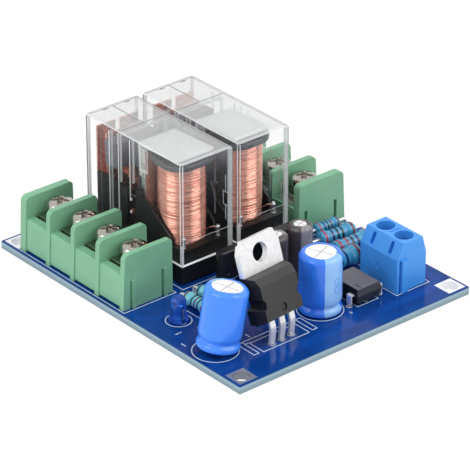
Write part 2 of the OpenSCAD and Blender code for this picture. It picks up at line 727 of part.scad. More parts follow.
// Indicator lamp
lamp_at = [6.8, 25.7];
lamp_pitch = 2.54;
lamp_post = 0.5;
module lamp_posts(top) {
  for (p = lamp_points()) block([lamp_post, lamp_post, top + board_t], at(p[0], p[1], -board_t));
}
module indicator_lens() {
  color("#2f62d8") difference() {
    translate(at(lamp_at[0], lamp_at[1], 0.2)) {
      cylinder(h = 0.8, d = lamp_d + 0.7);
      cylinder(h = lamp_h - 0.2 - lamp_d / 2, d = lamp_d);
      translate([0, 0, lamp_h - 0.2 - lamp_d / 2]) sphere(d = lamp_d);
    }
    lamp_posts(3);
  }
}
module indicator_leads() { color(tin) lamp_posts(3); }

// Bridge rectifier, four pins
rectifier_at = [38.4, 11.65];
rectifier_w = 6.3;
rectifier_l = 8.2;
rectifier_z0 = 0.5;
rectifier_mid = 2.3;
rectifier_z1 = 3.6;
rectifier_pitch = 5.08;
rectifier_row = 7.62;
rectifier_bite = 0.5;
function rectifier_pin_points() = [for (sx = [-1, 1], sy = [-1, 1])
  [rectifier_at[0] + sx * rectifier_row / 2, rectifier_at[1] + sy * rectifier_pitch / 2]];

module rectifier_body() {
  draft = 0.4;
  color(dull_black) translate(at(rectifier_at[0], rectifier_at[1])) difference() {
    rectifier_block(draft);
    for (sx = [-1, 1], sy = [-1, 1])
      translate([sx * rectifier_w / 2, sy * rectifier_pitch / 2, rectifier_mid - 0.15])
        block([2 * rectifier_bite, 1.3, 0.3]);
  }
}

module rectifier_block(draft) {
  intersection() {
    translate([0, -rectifier_l, 0]) side_profile([[-rectifier_w / 2 + draft, rectifier_z0],
      [rectifier_w / 2 - draft, rectifier_z0], [rectifier_w / 2, rectifier_mid],
      [rectifier_w / 2 - draft, rectifier_z1], [-rectifier_w / 2 + draft, rectifier_z1],
      [-rectifier_w / 2, rectifier_mid]], 2 * rectifier_l);
    translate([-rectifier_w, 0, 0]) end_profile([[-rectifier_l / 2 + draft, rectifier_z0],
      [rectifier_l / 2 - draft, rectifier_z0], [rectifier_l / 2, rectifier_mid],
      [rectifier_l / 2 - draft, rectifier_z1], [-rectifier_l / 2 + draft, rectifier_z1],
      [-rectifier_l / 2, rectifier_mid]], 2 * rectifier_w);
  }
}

module rectifier_pins() {
  t = 0.3;
  reach = (rectifier_row - rectifier_w) / 2 + t / 2 + rectifier_bite;
  color(tin) for (sx = [-1, 1], sy = [-1, 1])
    translate(at(rectifier_at[0], rectifier_at[1] + sy * rectifier_pitch / 2))
      mirror([sx < 0 ? 1 : 0, 0, 0]) {
        block([reach, 1.3, t], [rectifier_w / 2 - rectifier_bite + reach / 2, 0, rectifier_mid - t / 2]);
        block([t, 1.3, rectifier_mid - 0.5 + t / 2], [rectifier_row / 2, 0, 0.5]);
        block([t, 0.5, board_t + 0.5 + eps], [rectifier_row / 2, 0, -board_t]);
      }
}

// Control chip, standing on one row of pins
chip_x = 20.3;
chip_y = 29.4;
chip_t = 1.9;
chip_z0 = 1.6;
chip_z1 = 7.6;
chip_pins = 8;
function chip_pin_points() = [for (i = [0 : chip_pins - 1])
  [chip_x + chip_l / 2 + (i - (chip_pins - 1) / 2) * 2.54, chip_y + chip_t / 2]];

module control_chip_body() {
  cut = 0.5;
  color(dull_black) translate(at(chip_x, chip_y, 0)) difference() {
    translate([0, 0, chip_z0]) linear_extrude(chip_z1 - chip_z0) polygon([[cut, 0], [chip_l - cut, 0],
      [chip_l, cut], [chip_l - 0.2, chip_t], [0.2, chip_t], [0, cut]]);
    translate([-eps, -eps, chip_z1 - 0.35]) rotate([45, 0, 0]) cube([chip_l + 1, 0.5, 0.5], center = false);
    translate([1.6, -eps, chip_z0 + 1.6]) rotate([-90, 0, 0]) cylinder(h = 0.25, d = 1.2);
  }
}

module control_chip_pins() {
  color(tin) for (p = chip_pin_points()) translate(at(p[0], p[1])) {
    block([1.1, 0.35, chip_z0 - 0.5], [0, 0, 0.5]);
    block([0.5, 0.35, board_t + 0.5 + eps], [0, 0, -board_t]);
  }
}

// Every lead that passes through the board: [x, y, drill]
function with_drill(points, d) = [for (p = points) [p[0], p[1], d]];
function barrier_pin_points() = [for (i = [0 : barrier_ways - 1]) each [
  [left_block_inset + barrier_pin_x, barrier_y + way_y(i)],
  [board_w - right_block_inset - barrier_pin_x, barrier_y + barrier_len - way_y(i)]]];
function relay_pin_points() = [for (x0 = [left_relay_x, right_relay_x]) each concat(
  [for (x = coil_pin_x) [x0 + x, relay_y + coil_pin_y]],
  [for (x = pole_x, y = [nc_pin_y, no_pin_y, common_pin_y]) [x0 + x, relay_y + y]])];
function regulator_pin_points() = [for (i = [-1 : 1])
  [regulator_leg_x, regulator_leg_y] + i * leg_pitch * [cos(regulator_turn), sin(regulator_turn)]];
function power_pin_points() = [for (i = [0, 1]) [power_screw_x, power_way(i)]];
function lamp_points() = [for (s = [-1, 1]) [lamp_at[0], lamp_at[1] + s * lamp_pitch / 2]];
function lead_holes() = concat(
  with_drill(barrier_pin_points(), 1.4),
  with_drill(relay_pin_points(), 1.2),
  with_drill(regulator_pin_points(), 1.1),
  with_drill(power_pin_points(), 1.5),
  with_drill(concat(leaning_leads(), upright_leads(), small_cap_leads()), 0.8),
  with_drill([for (r = concat(small_resistor_list, power_resistor_list)) each lead_pair_points(r)], 0.8),
  with_drill(lamp_points(), 0.9),
  with_drill(rectifier_pin_points(), 0.9),
  with_drill(chip_pin_points(), 0.9));

module circuit_board() {
  color(board_blue) difference() {
    translate([-board_w / 2, -board_d / 2, 0]) cube([board_w, board_d, board_t]);
    for (p = corner_points()) translate([p[0], p[1], -eps]) cylinder(h = board_t + 2 * eps, d = hole_d + 0.2);
    for (h = lead_holes()) translate(at(h[0], h[1], -board_t - eps))
      cylinder(h = board_t + 2 * eps, d = h[2], $fn = 24);
  }
}

// Plated barrels with a square pad on each face
module corner_pads() {
  color(tin) for (p = corner_points()) translate([p[0], p[1], 0]) difference() {
    union() {
      translate([0, 0, -foil_t]) cylinder(h = board_t + 2 * foil_t, d = hole_d + 0.2);
      for (z = [-foil_t, board_t]) block([pad_side, pad_side, foil_t], [0, 0, z]);
    }
    translate([0, 0, -1]) cylinder(h = board_t + 2, d = hole_d);
  }
}

// Solder cone and cut lead end under each hole
module solder_joints() {
  cone_h = 1;
  color(tin) for (h = lead_holes()) translate(at(h[0], h[1], -board_t - tail_h)) {
    cylinder(h = tail_h, d = 0.7, $fn = 16);
    translate([0, 0, tail_h - cone_h]) cylinder(h = cone_h, d1 = 0.8, d2 = h[2] + 0.8, $fn = 16);
  }
}

circuit_board();
corner_pads();
solder_joints();
left_terminal_housing();
left_terminal_contacts();
left_clamp_screw(0);  // left_clamp_screw_1
left_clamp_screw(1);  // left_clamp_screw_2
left_clamp_screw(2);  // left_clamp_screw_3
left_clamp_screw(3);  // left_clamp_screw_4
right_terminal_housing();
right_terminal_contacts();
right_clamp_screw(0);  // right_clamp_screw_1
right_clamp_screw(1);  // right_clamp_screw_2
right_clamp_screw(2);  // right_clamp_screw_3
right_clamp_screw(3);  // right_clamp_screw_4
power_terminal_housing();
power_terminal_cages();
power_clamp_screw(0);  // power_clamp_screw_1
power_clamp_screw(1);  // power_clamp_screw_2
left_relay_place() relay_cover();  // left_relay_cover
left_relay_place() relay_base();  // left_relay_base
left_relay_place() relay_bobbin();  // left_relay_bobbin
left_relay_place() relay_winding();  // left_relay_winding
left_relay_place() relay_core();  // left_relay_core
left_relay_place() relay_yoke();  // left_relay_yoke
left_relay_place() relay_armature();  // left_relay_armature
left_relay_place() relay_carrier();  // left_relay_carrier
left_relay_place() relay_moving_contacts();  // left_relay_moving_contacts
left_relay_place() relay_fixed_contacts();  // left_relay_fixed_contacts
left_relay_place() relay_coil_pins();  // left_relay_coil_pins
right_relay_place() relay_cover();  // right_relay_cover
right_relay_place() relay_base();  // right_relay_base
right_relay_place() relay_bobbin();  // right_relay_bobbin
right_relay_place() relay_winding();  // right_relay_winding
right_relay_place() relay_core();  // right_relay_core
right_relay_place() relay_yoke();  // right_relay_yoke
right_relay_place() relay_armature();  // right_relay_armature
right_relay_place() relay_carrier();  // right_relay_carrier
right_relay_place() relay_moving_contacts();  // right_relay_moving_contacts
right_relay_place() relay_fixed_contacts();  // right_relay_fixed_contacts
right_relay_place() relay_coil_pins();  // right_relay_coil_pins
regulator_body();
regulator_tab();
regulator_outer_legs();
leaning_capacitor_sleeve();
leaning_capacitor_can();
upright_capacitor_sleeve();
upright_capacitor_can();
small_capacitor_sleeves();
small_capacitor_cans();
capacitor_leads();
small_resistors();
power_resistors();
resistor_leads();
indicator_lens();
indicator_leads();
rectifier_body();
rectifier_pins();
control_chip_body();
control_chip_pins();
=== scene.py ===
"""Looks of the relay module board: finishes, rounded edges, wound coils, print, bands and the studio."""

import json
import math
import random

import bmesh
import bpy
from mathutils import Matrix, Vector


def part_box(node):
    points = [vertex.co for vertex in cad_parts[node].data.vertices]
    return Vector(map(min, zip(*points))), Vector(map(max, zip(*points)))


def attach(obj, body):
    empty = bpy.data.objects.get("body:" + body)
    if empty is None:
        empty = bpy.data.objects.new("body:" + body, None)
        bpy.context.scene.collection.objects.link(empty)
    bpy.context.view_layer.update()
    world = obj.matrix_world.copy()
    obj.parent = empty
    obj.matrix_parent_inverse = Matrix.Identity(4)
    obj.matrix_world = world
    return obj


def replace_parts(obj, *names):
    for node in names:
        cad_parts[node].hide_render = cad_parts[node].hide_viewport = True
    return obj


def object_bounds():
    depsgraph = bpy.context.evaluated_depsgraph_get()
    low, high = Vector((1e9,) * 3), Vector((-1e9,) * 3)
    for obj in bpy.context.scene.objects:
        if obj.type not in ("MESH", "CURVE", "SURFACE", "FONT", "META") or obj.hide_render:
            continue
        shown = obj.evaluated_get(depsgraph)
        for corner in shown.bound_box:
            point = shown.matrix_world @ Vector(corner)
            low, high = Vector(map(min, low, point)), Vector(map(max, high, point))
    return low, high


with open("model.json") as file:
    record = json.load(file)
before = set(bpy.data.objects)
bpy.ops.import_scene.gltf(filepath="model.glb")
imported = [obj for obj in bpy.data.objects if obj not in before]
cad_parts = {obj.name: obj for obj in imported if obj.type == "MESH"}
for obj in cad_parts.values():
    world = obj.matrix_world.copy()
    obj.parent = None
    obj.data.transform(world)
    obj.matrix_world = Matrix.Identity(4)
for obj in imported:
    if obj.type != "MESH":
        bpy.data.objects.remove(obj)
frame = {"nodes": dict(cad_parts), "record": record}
cad_low, cad_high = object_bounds()

MM = 0.001
SIDES = ("left", "right")
board_low, board_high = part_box("circuit_board")
BOARD_W, BOARD_D, BOARD_T = (board_high - board_low) / MM
CORNER = Vector((board_low.x, board_low.y, board_high.z))
slot_of = {part["node"]: part["material_slot"] for part in frame["record"]["subparts"]}
body_of = {node: body for body, nodes in frame["record"]["behaviour"]["bodies"].items() for node in nodes}


def at(x, y, z=0.0):
    """A place on the board, in millimetres from its near left corner and its top face."""
    return Vector((CORNER.x + x * MM, CORNER.y + y * MM, CORNER.z + z * MM))


def place_of(node):
    """Lowest corner, highest corner and middle of a CAD node, in board millimetres."""
    low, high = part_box(node)
    low, high = (low - CORNER) / MM, (high - CORNER) / MM
    return low, high, (low + high) / 2


def clamp(value):
    return max(0.0, min(1.0, value))


# Colour and materials


def linear(value):
    value /= 255
    return value / 12.92 if value <= 0.04045 else ((value + 0.055) / 1.055) ** 2.4


def colour(value):
    """A colour from a grey share, from red, green and blue up to 255, or from four finished values."""
    if not isinstance(value, tuple):
        return (value, value, value, 1.0)
    return value if len(value) == 4 else tuple(linear(v) for v in value) + (1.0,)


class Tree:
    """A node tree, with short calls that add to it."""

    def __init__(self, owner):
        owner.use_nodes = True
        self.nodes = owner.node_tree.nodes
        self.links = owner.node_tree.links

    def feed(self, node, socket, value):
        """An input takes a value, or what another node gives."""
        if isinstance(value, bpy.types.NodeSocket):
            self.links.new(value, node.inputs[socket])
        else:
            node.inputs[socket].default_value = value

    def make(self, kind, **inputs):
        node = self.nodes.new("ShaderNode" + kind)
        for socket, value in inputs.items():
            self.feed(node, socket.replace("_", " "), value)
        return node

    def math(self, operation, *values):
        node = self.make("Math")
        node.operation = operation
        for slot, value in enumerate(values):
            self.feed(node, slot, value)
        return node.outputs["Value"]

    def seen_directly(self):
        """1 for the rays of the camera, of metal and of glass, which show the white background."""
        rays = self.make("LightPath").outputs
        seen = self.math("MAXIMUM", rays["Is Camera Ray"], rays["Is Glossy Ray"])
        return self.math("MAXIMUM", seen, rays["Is Transmission Ray"])


class Finish(Tree):
    """A material with one Principled shader, and short calls that add its detail."""

    def __init__(self, name, base, roughness=0.5, metallic=0.0, specular=0.5):
        self.material = bpy.data.materials.new(name)
        super().__init__(self.material)
        self.shader = self.nodes["Principled BSDF"]
        self.base = colour(base)
        self.set("Base Color", self.base).set("Roughness", roughness)
        self.set("Metallic", metallic).set("Specular IOR Level", specular)
        self.coordinates = self.make("TexCoord").outputs["Object"]

    def set(self, socket, value):
        self.feed(self.shader, socket, value)
        return self

    def noise(self, size, detail=3.0, stretch=(1, 1, 1)):
        """Noise whose lumps are about size millimetres across."""
        place = self.make("Mapping", Scale=stretch, Vector=self.coordinates).outputs["Vector"]
        node = self.make("TexNoise", Scale=1 / (size * MM), Detail=detail, Roughness=0.55, Vector=place)
        return node.outputs["Fac"]

    def ramp(self, factor, stops):
        node = self.make("ValToRGB", Fac=factor)
        elements = node.color_ramp.elements
        while len(elements) < len(stops):
            elements.new(0.5)
        for element, (position, value) in zip(elements, stops):
            element.position = position
            element.color = colour(value)
        return node.outputs["Color"]

    def part(self, axis, vector=None):
        """One coordinate of the place on the object, or of another vector."""
        vector = self.coordinates if vector is None else vector
        return self.make("SeparateXYZ", Vector=vector).outputs[axis]

    def span(self, value, low, high):
        """0 where the value is low, 1 where it is high."""
        return self.make("MapRange", Value=value, From_Min=low, From_Max=high).outputs["Result"]

    def mixed(self, factor, a, b, blend="MIX"):
        """One colour over another, by factor."""
        node = self.make("Mix")
        node.data_type = "RGBA"
        node.blend_type = blend
        for socket, value in (("Factor", factor), ("A", a), ("B", b)):
            self.feed(node, socket, value)
        return node.outputs["Result"]

    def vary(self, amount, size, detail=3.0, stretch=(1, 1, 1)):
        """The base colour drifts darker and lighter by amount."""
        dark = tuple(c * (1 - amount) for c in self.base[:3]) + (1.0,)
        light = tuple(min(1.0, c * (1 + amount)) for c in self.base[:3]) + (1.0,)
        tone = self.ramp(self.noise(size, detail, stretch), [(0.3, dark), (0.7, light)])
        return self.set("Base Color", tone)

    def rough(self, low, high, size, stretch=(1, 1, 1)):
        """Roughness drifts between low and high."""
        return self.set("Roughness", self.ramp(self.noise(size, 4.0, stretch), [(0.3, low), (0.7, high)]))

    def bump(self, depth, size, detail=2.0, stretch=(1, 1, 1)):
        """Fine relief, depth and size in millimetres."""
        relief = self.noise(size, detail, stretch)
        node = self.make("Bump", Distance=depth * MM, Strength=1.0, Height=relief)
        return self.set("Normal", node.outputs["Normal"])

    def blend(self, factor, other):
        """The surface shows another shader over this one, by factor."""
        mix = self.make("MixShader", Fac=factor)
        self.feed(mix, 1, self.shader.outputs["BSDF"])
        self.feed(mix, 2, other.outputs[0])
        self.feed(self.nodes["Material Output"], "Surface", mix.outputs["Shader"])
        return self

    def see_through(self, share=0.0, tint=(1.0, 1.0, 1.0, 1.0)):
        """Lets a share of every ray pass straight on, and every lamp ray."""
        passes = self.make("LightPath").outputs["Is Shadow Ray"]
        if share:
            passes = self.math("MAXIMUM", passes, share)
        return self.blend(passes, self.make("BsdfTransparent", Color=tint))


def moulded(name, base, roughness=0.42, grain=0.004, specular=0.5):
    """Injection-moulded plastic with a fine grain and slow colour drift."""
    finish = Finish(name, base, roughness, specular=specular)
    return finish.vary(0.05, 5.0).rough(roughness - 0.06, roughness + 0.08, 1.5).bump(grain, 0.12)


def plated(name, base, roughness=0.25, grain=0.003, size=0.25, stretch=(1, 1, 1), metallic=1.0):
    """Plated or tinned metal with small dents and drift in its shine."""
    finish = Finish(name, base, roughness, metallic=metallic)
    finish.vary(0.08, 0.8).rough(roughness - 0.08, roughness + 0.12, 0.6, stretch)
    return finish.bump(grain, size, 3.0, stretch)


def sleeve(name, base, ripple=0.008, gloss=0.18):
    """Shrunk sleeve or lacquer: glossy, with slow ripples."""
    finish = Finish(name, base, gloss, specular=0.6)
    return finish.vary(0.05, 4.0).rough(gloss - 0.04, gloss + 0.08, 2.0).bump(ripple, 1.6, 2.0, (1, 1, 0.5))


def painted_edge_line(name, base, share):
    """Painted highlights: edges and ribs of the clear cover take a pale or grey colour that stands in for the
    light they gather.
    """
    finish = Finish(name, base, 0.2).vary(0.05, 2.0).rough(0.14, 0.3, 1.0)
    return finish.see_through(share, (0.95, 0.96, 0.96, 1.0))


def board_finish():
    """Blue solder mask on both faces, and pale glass laminate on the cut edges."""
    finish = Finish("solder_mask", (14, 60, 132), 0.14, specular=0.14)
    face = finish.ramp(finish.noise(7.0, 2.0), [(0.35, (11, 54, 122)), (0.65, (17, 66, 142))])
    layers = finish.ramp(finish.span(finish.part("Z"), board_low.z, board_high.z), [
        (0.0, (96, 120, 134)), (0.08, (132, 154, 166)), (0.5, (138, 162, 172)),
        (0.6, (158, 182, 194)), (0.86, (142, 170, 188)), (0.93, (16, 56, 116))])
    fibre = finish.ramp(finish.noise(0.45, 4.0, (1, 1, 6)), [(0.3, 0.86), (0.7, 1.0)])
    edge = finish.mixed(1.0, layers, fibre, "MULTIPLY")
    flat = finish.math("ABSOLUTE", finish.part("Z", finish.make("NewGeometry").outputs["Normal"]))
    return finish.set("Base Color", finish.mixed(flat, edge, face)).rough(0.08, 0.16, 3.0).bump(0.002, 1.6)


def clear_finish():
    """Clear plastic: what stands behind shows through, under a white haze that grows towards the top and at
    grazing angles, painted reflection of the light the walls reflect.
    """
    finish = Finish("clear_cover", (238, 241, 243), 0.05)
    finish.set("Coat Weight", 1.0).set("Coat Roughness", 0.03).bump(0.002, 3.0)
    level = finish.span(finish.part("Z"), CORNER.z + 8 * MM, CORNER.z + 26 * MM)
    haze = finish.ramp(level, [(0.0, 0.0), (0.4, 0.004), (0.75, 0.02), (1.0, 0.07)])
    graze = finish.math("POWER", finish.make("LayerWeight", Blend=0.5).outputs["Facing"], 5.0)
    painted_reflection_veil = finish.math("MULTIPLY_ADD", graze, 0.4, haze)
    painted_reflection_veil.node.use_clamp = True
    return finish.see_through(finish.math("SUBTRACT", 1.0, painted_reflection_veil))


def pad_finish():
    """Tinned pads, the one at the near corner left duller than the rest."""
    finish = plated("pad_tin", (240, 242, 245), 0.42, 0.001, 0.9, metallic=0.4)
    near = board_low.x + board_low.y
    place = finish.math("ADD", finish.part("X"), finish.part("Y"))
    across = finish.span(place, near + 6 * MM, near + 40 * MM)
    return finish.set("Base Color", finish.ramp(across, [(0.0, (128, 134, 146)), (1.0, (244, 245, 248))]))


def two_lacquers():
    """The small resistors come from two lots: the pair near the lamp is paler than the one across."""
    finish = sleeve("small_resistor_lacquer", (112, 192, 208), gloss=0.12)
    across = finish.span(finish.part("X"), board_low.x + 28 * MM, board_low.x + 30 * MM)
    lots = finish.ramp(across, [(0.0, (112, 192, 208)), (1.0, (66, 150, 192))])
    drift = finish.ramp(finish.noise(2.0), [(0.3, 0.88), (0.7, 1.0)])
    return finish.set("Base Color", finish.mixed(1.0, lots, drift, "MULTIPLY"))


def lens_finish():
    finish = Finish("blue_lens", (58, 134, 238), 0.04)
    finish.set("Transmission Weight", 0.8).set("IOR", 1.4).bump(0.002, 1.0)
    return finish.see_through(tint=colour((120, 160, 250)))


def copper_finish():
    """Enamelled copper wire: the turns take slightly different tones."""
    finish = Finish("winding_wire", (245, 190, 172), 0.2, metallic=1.0)
    tone = finish.ramp(finish.noise(0.35, 4.0, (0.1, 0.1, 1.6)),
                       [(0.25, (184, 118, 102)), (0.5, (216, 158, 140)), (0.75, (236, 192, 174))])
    return finish.set("Base Color", tone).rough(0.14, 0.24, 0.3, (0.15, 0.15, 1.5))


mask = board_finish()
trace = Finish("mask_over_copper", (15, 66, 146), 0.12, specular=0.15).vary(0.05, 3.0).bump(0.001, 0.9)
print_white = Finish("white_print", (206, 222, 236), 0.55).vary(0.05, 0.4, 4.0).bump(0.002, 0.15)
green = moulded("green_moulding", (122, 176, 142), 0.44)
blue = moulded("blue_moulding", (64, 148, 230), 0.38)
black = moulded("black_moulding", (25, 25, 25), 0.34, specular=0.35)
grey = moulded("grey_moulding", (98, 95, 106), 0.4)
bobbin_black = moulded("bobbin_moulding", (36, 37, 40), 0.14, 0.002, 0.7)
package = moulded("package_moulding", (57, 57, 58), 0.46, 0.005, 0.25)
# A darker copy of the regulator's package colour: painted shade on its faces towards -x
package_painted_shade_side = moulded("package_painted_shade_side", (30, 30, 32), 0.46, 0.005, 0.15)
dark_package = moulded("dark_package", (44, 48, 56), 0.4, specular=0.3)
# Darker and paler copies of the rectifier's package colour: painted shade on its faces towards -x, painted
# light on its top
dark_package_painted_shade_side = moulded("dark_package_painted_shade_side", (22, 24, 28), 0.4, specular=0.2)
dark_package_painted_light_top = moulded("dark_package_painted_light_top", (98, 97, 104), 0.45, specular=0.3)
chip_package = moulded("chip_package", (24, 25, 27), 0.3, specular=0.4)
tin = plated("tin", (234, 235, 237), 0.26)
pad_tin = pad_finish()
solder = plated("solder", (200, 203, 207), 0.3, 0.004, 0.5)
steel = plated("plated_steel", (214, 214, 214), 0.3, 0.002, 0.3, (6, 1, 1))
armature_steel = plated("armature_steel", (238, 238, 238), 0.34, 0.003, 1.0, metallic=0.6)
# The nickel takes a darker base and a strong random drift that stand in for the dark surroundings its heads
# mirror: painted reflection
screw_metal = plated("nickel", (176, 172, 165), 0.14, 0.0005, 0.5).vary(0.22, 0.5)
leg_metal = plated("leg_tin", (238, 238, 240), 0.34, 0.001, 0.15, metallic=0.55)
tab_metal = plated("tinned_tab", (230, 230, 231), 0.42, 0.001, 0.15, (1, 6, 1), metallic=0.6)
blade_copper = plated("copper_strip", (238, 184, 170), 0.3, 0.002, 0.3, (1, 1, 4))
wire_copper = copper_finish()
can_metal = plated("aluminium_can", (240, 240, 242), 0.45, 0.002, 0.3)
# Darker grey for the scored lines of the can tops: painted shade in the grooves
can_score_painted_shade = Finish("can_score_painted_shade", (172, 168, 166), 0.4, metallic=0.6).vary(0.1, 0.3).bump(0.002, 0.2)
can_top = Finish("can_top", (240, 240, 241), 0.5, metallic=0.2).vary(0.02, 1.0).bump(0.001, 0.3)
blue_sleeve = sleeve("blue_sleeve", (62, 136, 252))
# The upright capacitor's sleeve is a darker copy of the blue sleeve: partly its own deeper blue, partly
# painted shade
deep_sleeve_and_shade = sleeve("deep_blue_sleeve_and_shade", (46, 118, 236))
pale_sleeve = sleeve("pale_stripe", (138, 186, 240))
mark_blue = sleeve("stripe_mark", (96, 152, 226))
dark_sleeve = sleeve("dark_sleeve", (74, 68, 70), 0.02)
grey_sleeve = sleeve("grey_stripe", (134, 130, 136), 0.02)
resistor_blue = sleeve("resistor_lacquer", (62, 148, 190), gloss=0.12)
small_resistor_blue = two_lacquers()
clear = clear_finish()
# Pale and grey looks for the clear cover's edges and ribs: painted highlights
clear_rim_painted_highlight = painted_edge_line("clear_rim_painted_highlight", (244, 246, 246), 0.15)
clear_rib_painted_highlight = painted_edge_line("clear_rib_painted_highlight", (214, 218, 218), 0.5)
clear_edge_painted_grey = painted_edge_line("clear_edge_painted_grey", (128, 130, 130), 0.35)
clear_foot_painted_glow = painted_edge_line("clear_foot_painted_glow", (250, 250, 250), 0.05)
# The foot line also glows a little though it is no lamp: painted light
clear_foot_painted_glow.set("Emission Color", (1, 1, 1, 1)).set("Emission Strength", 0.2)
# The cover's top takes a pale grey haze: painted reflection of the bright light above it
clear_top_painted_reflection = Finish("clear_top_painted_reflection", (202, 204, 204), 0.16).vary(0.04, 4.0).rough(0.1, 0.22, 2.0)
clear_top_painted_reflection.see_through(0.46, (0.97, 0.97, 0.97, 1.0))
lens = lens_finish()
BAND_COLOURS = {"black": (16, 20, 30), "brown": (104, 42, 38), "red": (176, 40, 66),
                "green": (44, 156, 96), "navy": (24, 40, 100)}
BANDS = {name: Finish("band_" + name, base, 0.18).vary(0.1, 0.5).bump(0.003, 0.3)
         for name, base in BAND_COLOURS.items()}


# Meshes


def put(name, data):
    made = bpy.data.objects.new(name, data)
    bpy.context.scene.collection.objects.link(made)
    return made


def shade(mesh, angle):
    mesh.polygons.foreach_set("use_smooth", [True] * len(mesh.polygons))
    mesh.set_sharp_from_angle(angle=math.radians(angle))
    mesh.update()


class Shape:
    """Collects vertices and faces of one mesh, in board millimetres."""

    def __init__(self):
        self.verts, self.faces, self.indices = [], [], []

    def add(self, verts, faces, index=0):
        """index says which of the mesh's looks all the faces take, or is a list with one for each."""
        start = len(self.verts)
        self.verts += [Vector(v) for v in verts]
        self.faces += [tuple(start + i for i in face) for face in faces]
        self.indices += index if isinstance(index, list) else [index] * len(faces)

    def make(self, name, looks, slot, body="board", angle=35):
        """A new mesh object that rides on a body."""
        mesh = bpy.data.meshes.new(name)
        mesh.from_pydata([tuple(at(*v)) for v in self.verts], [], self.faces)
        for look in looks if isinstance(looks, list) else [looks]:
            mesh.materials.append(look.material)
        mesh.polygons.foreach_set("material_index", self.indices)
        mesh.validate()
        shade(mesh, angle)
        made = put(name, mesh)
        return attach(made, body)


def move(x, y, z=0.0):
    return Matrix.Translation((x, y, z))


def spin(degrees, axis="Z"):
    return Matrix.Rotation(math.radians(degrees), 4, axis)


def turns_of(sides, offset=0.0):
    """Angles of points that stand evenly round a ring."""
    return [2 * math.pi * (k + offset) / sides for k in range(sides)]


def skin(rings, sides, wrap=False, flip=False):
    """Faces between rings of vertices that follow each other, and back to the first one for wrap."""
    faces = []
    for i in range(rings if wrap else rings - 1):
        p, q = i * sides, (i + 1) % rings * sides
        for k in range(sides):
            n = (k + 1) % sides
            faces.append((p + k, q + k, q + n, p + n) if flip else (p + k, p + n, q + n, q + k))
    return faces


def box_parts(low, high):
    verts = [(x, y, z) for x in (low[0], high[0]) for y in (low[1], high[1]) for z in (low[2], high[2])]
    return verts, [(0, 1, 3, 2), (4, 6, 7, 5), (0, 4, 5, 1), (2, 3, 7, 6), (0, 2, 6, 4), (1, 5, 7, 3)]


def lathe_parts(profile, sides, matrix=None, closed=False):
    """Turns (radius, height) points about +z; a point of radius 0 closes an end."""
    verts, rings, faces = [], [], []
    for radius, height in profile:
        if radius < 1e-6:
            rings.append([len(verts)] * sides)
            verts.append(Vector((0, 0, height)))
            continue
        rings.append(list(range(len(verts), len(verts) + sides)))
        verts += [Vector((radius * math.cos(a), radius * math.sin(a), height)) for a in turns_of(sides)]
    for lower, upper in list(zip(rings, rings[1:])) + ([(rings[-1], rings[0])] if closed else []):
        for k in range(sides):
            n = (k + 1) % sides
            corner = tuple(dict.fromkeys((lower[k], lower[n], upper[n], upper[k])))
            if len(corner) > 2:
                faces.append(corner)
    if matrix is not None:
        verts = [matrix @ v for v in verts]
    return verts, faces


def arc(cx, cy, radius, start, stop, steps=6):
    turns = [math.radians(start + (stop - start) * i / steps) for i in range(steps + 1)]
    return [(cx + radius * math.cos(t), cy + radius * math.sin(t)) for t in turns]


def tube_parts(path, radius, sides):
    """A round wire along a list of points, with flat ends."""
    verts = []
    side = None
    for i, point in enumerate(path):
        ahead = (path[min(i + 1, len(path) - 1)] - path[max(i - 1, 0)]).normalized()
        side = side or ahead.orthogonal().normalized()
        side = (side - ahead * side.dot(ahead)).normalized()
        other = ahead.cross(side)
        verts += [point + (side * math.cos(a) + other * math.sin(a)) * radius for a in turns_of(sides)]
    ends = [tuple(reversed(range(sides))), tuple(range(len(verts) - sides, len(verts)))]
    return verts, skin(len(path), sides) + ends


def smooth_path(points, steps=6):
    """A Catmull-Rom curve through the points."""
    ends = [points[0] * 2 - points[1]] + points + [points[-1] * 2 - points[-2]]
    made = []
    for a, b, c, d in zip(ends, ends[1:], ends[2:], ends[3:]):
        for i in range(steps):
            t = i / steps
            made.append(0.5 * ((2 * b) + (c - a) * t + (2 * a - 5 * b + 4 * c - d) * t * t
                               + (3 * b - a - 3 * c + d) * t ** 3))
    return made + [points[-1]]


def ribbon_parts(points, width, low, high, closed=False):
    """A flat line with mitred corners, in x and y, between two heights."""
    flat = [Vector((p[0], p[1])) for p in points]
    count = len(flat)
    verts = []
    for i, point in enumerate(flat):
        before = flat[i - 1] if closed or i else None
        after = flat[(i + 1) % count] if closed or i < count - 1 else None
        one = (point - before).normalized() if before is not None else (after - point).normalized()
        two = (after - point).normalized() if after is not None else one
        normal = (Vector((-one.y, one.x)) + Vector((-two.y, two.x))).normalized()
        reach = width / 2 / max(0.4, normal.dot(Vector((-one.y, one.x))))
        a, b = point + normal * reach, point - normal * reach
        verts += [(a.x, a.y, low), (b.x, b.y, low), (b.x, b.y, high), (a.x, a.y, high)]
    faces = skin(count, 4, closed)
    if not closed:
        faces += [(3, 2, 1, 0), (4 * count - 4, 4 * count - 3, 4 * count - 2, 4 * count - 1)]
    return verts, faces


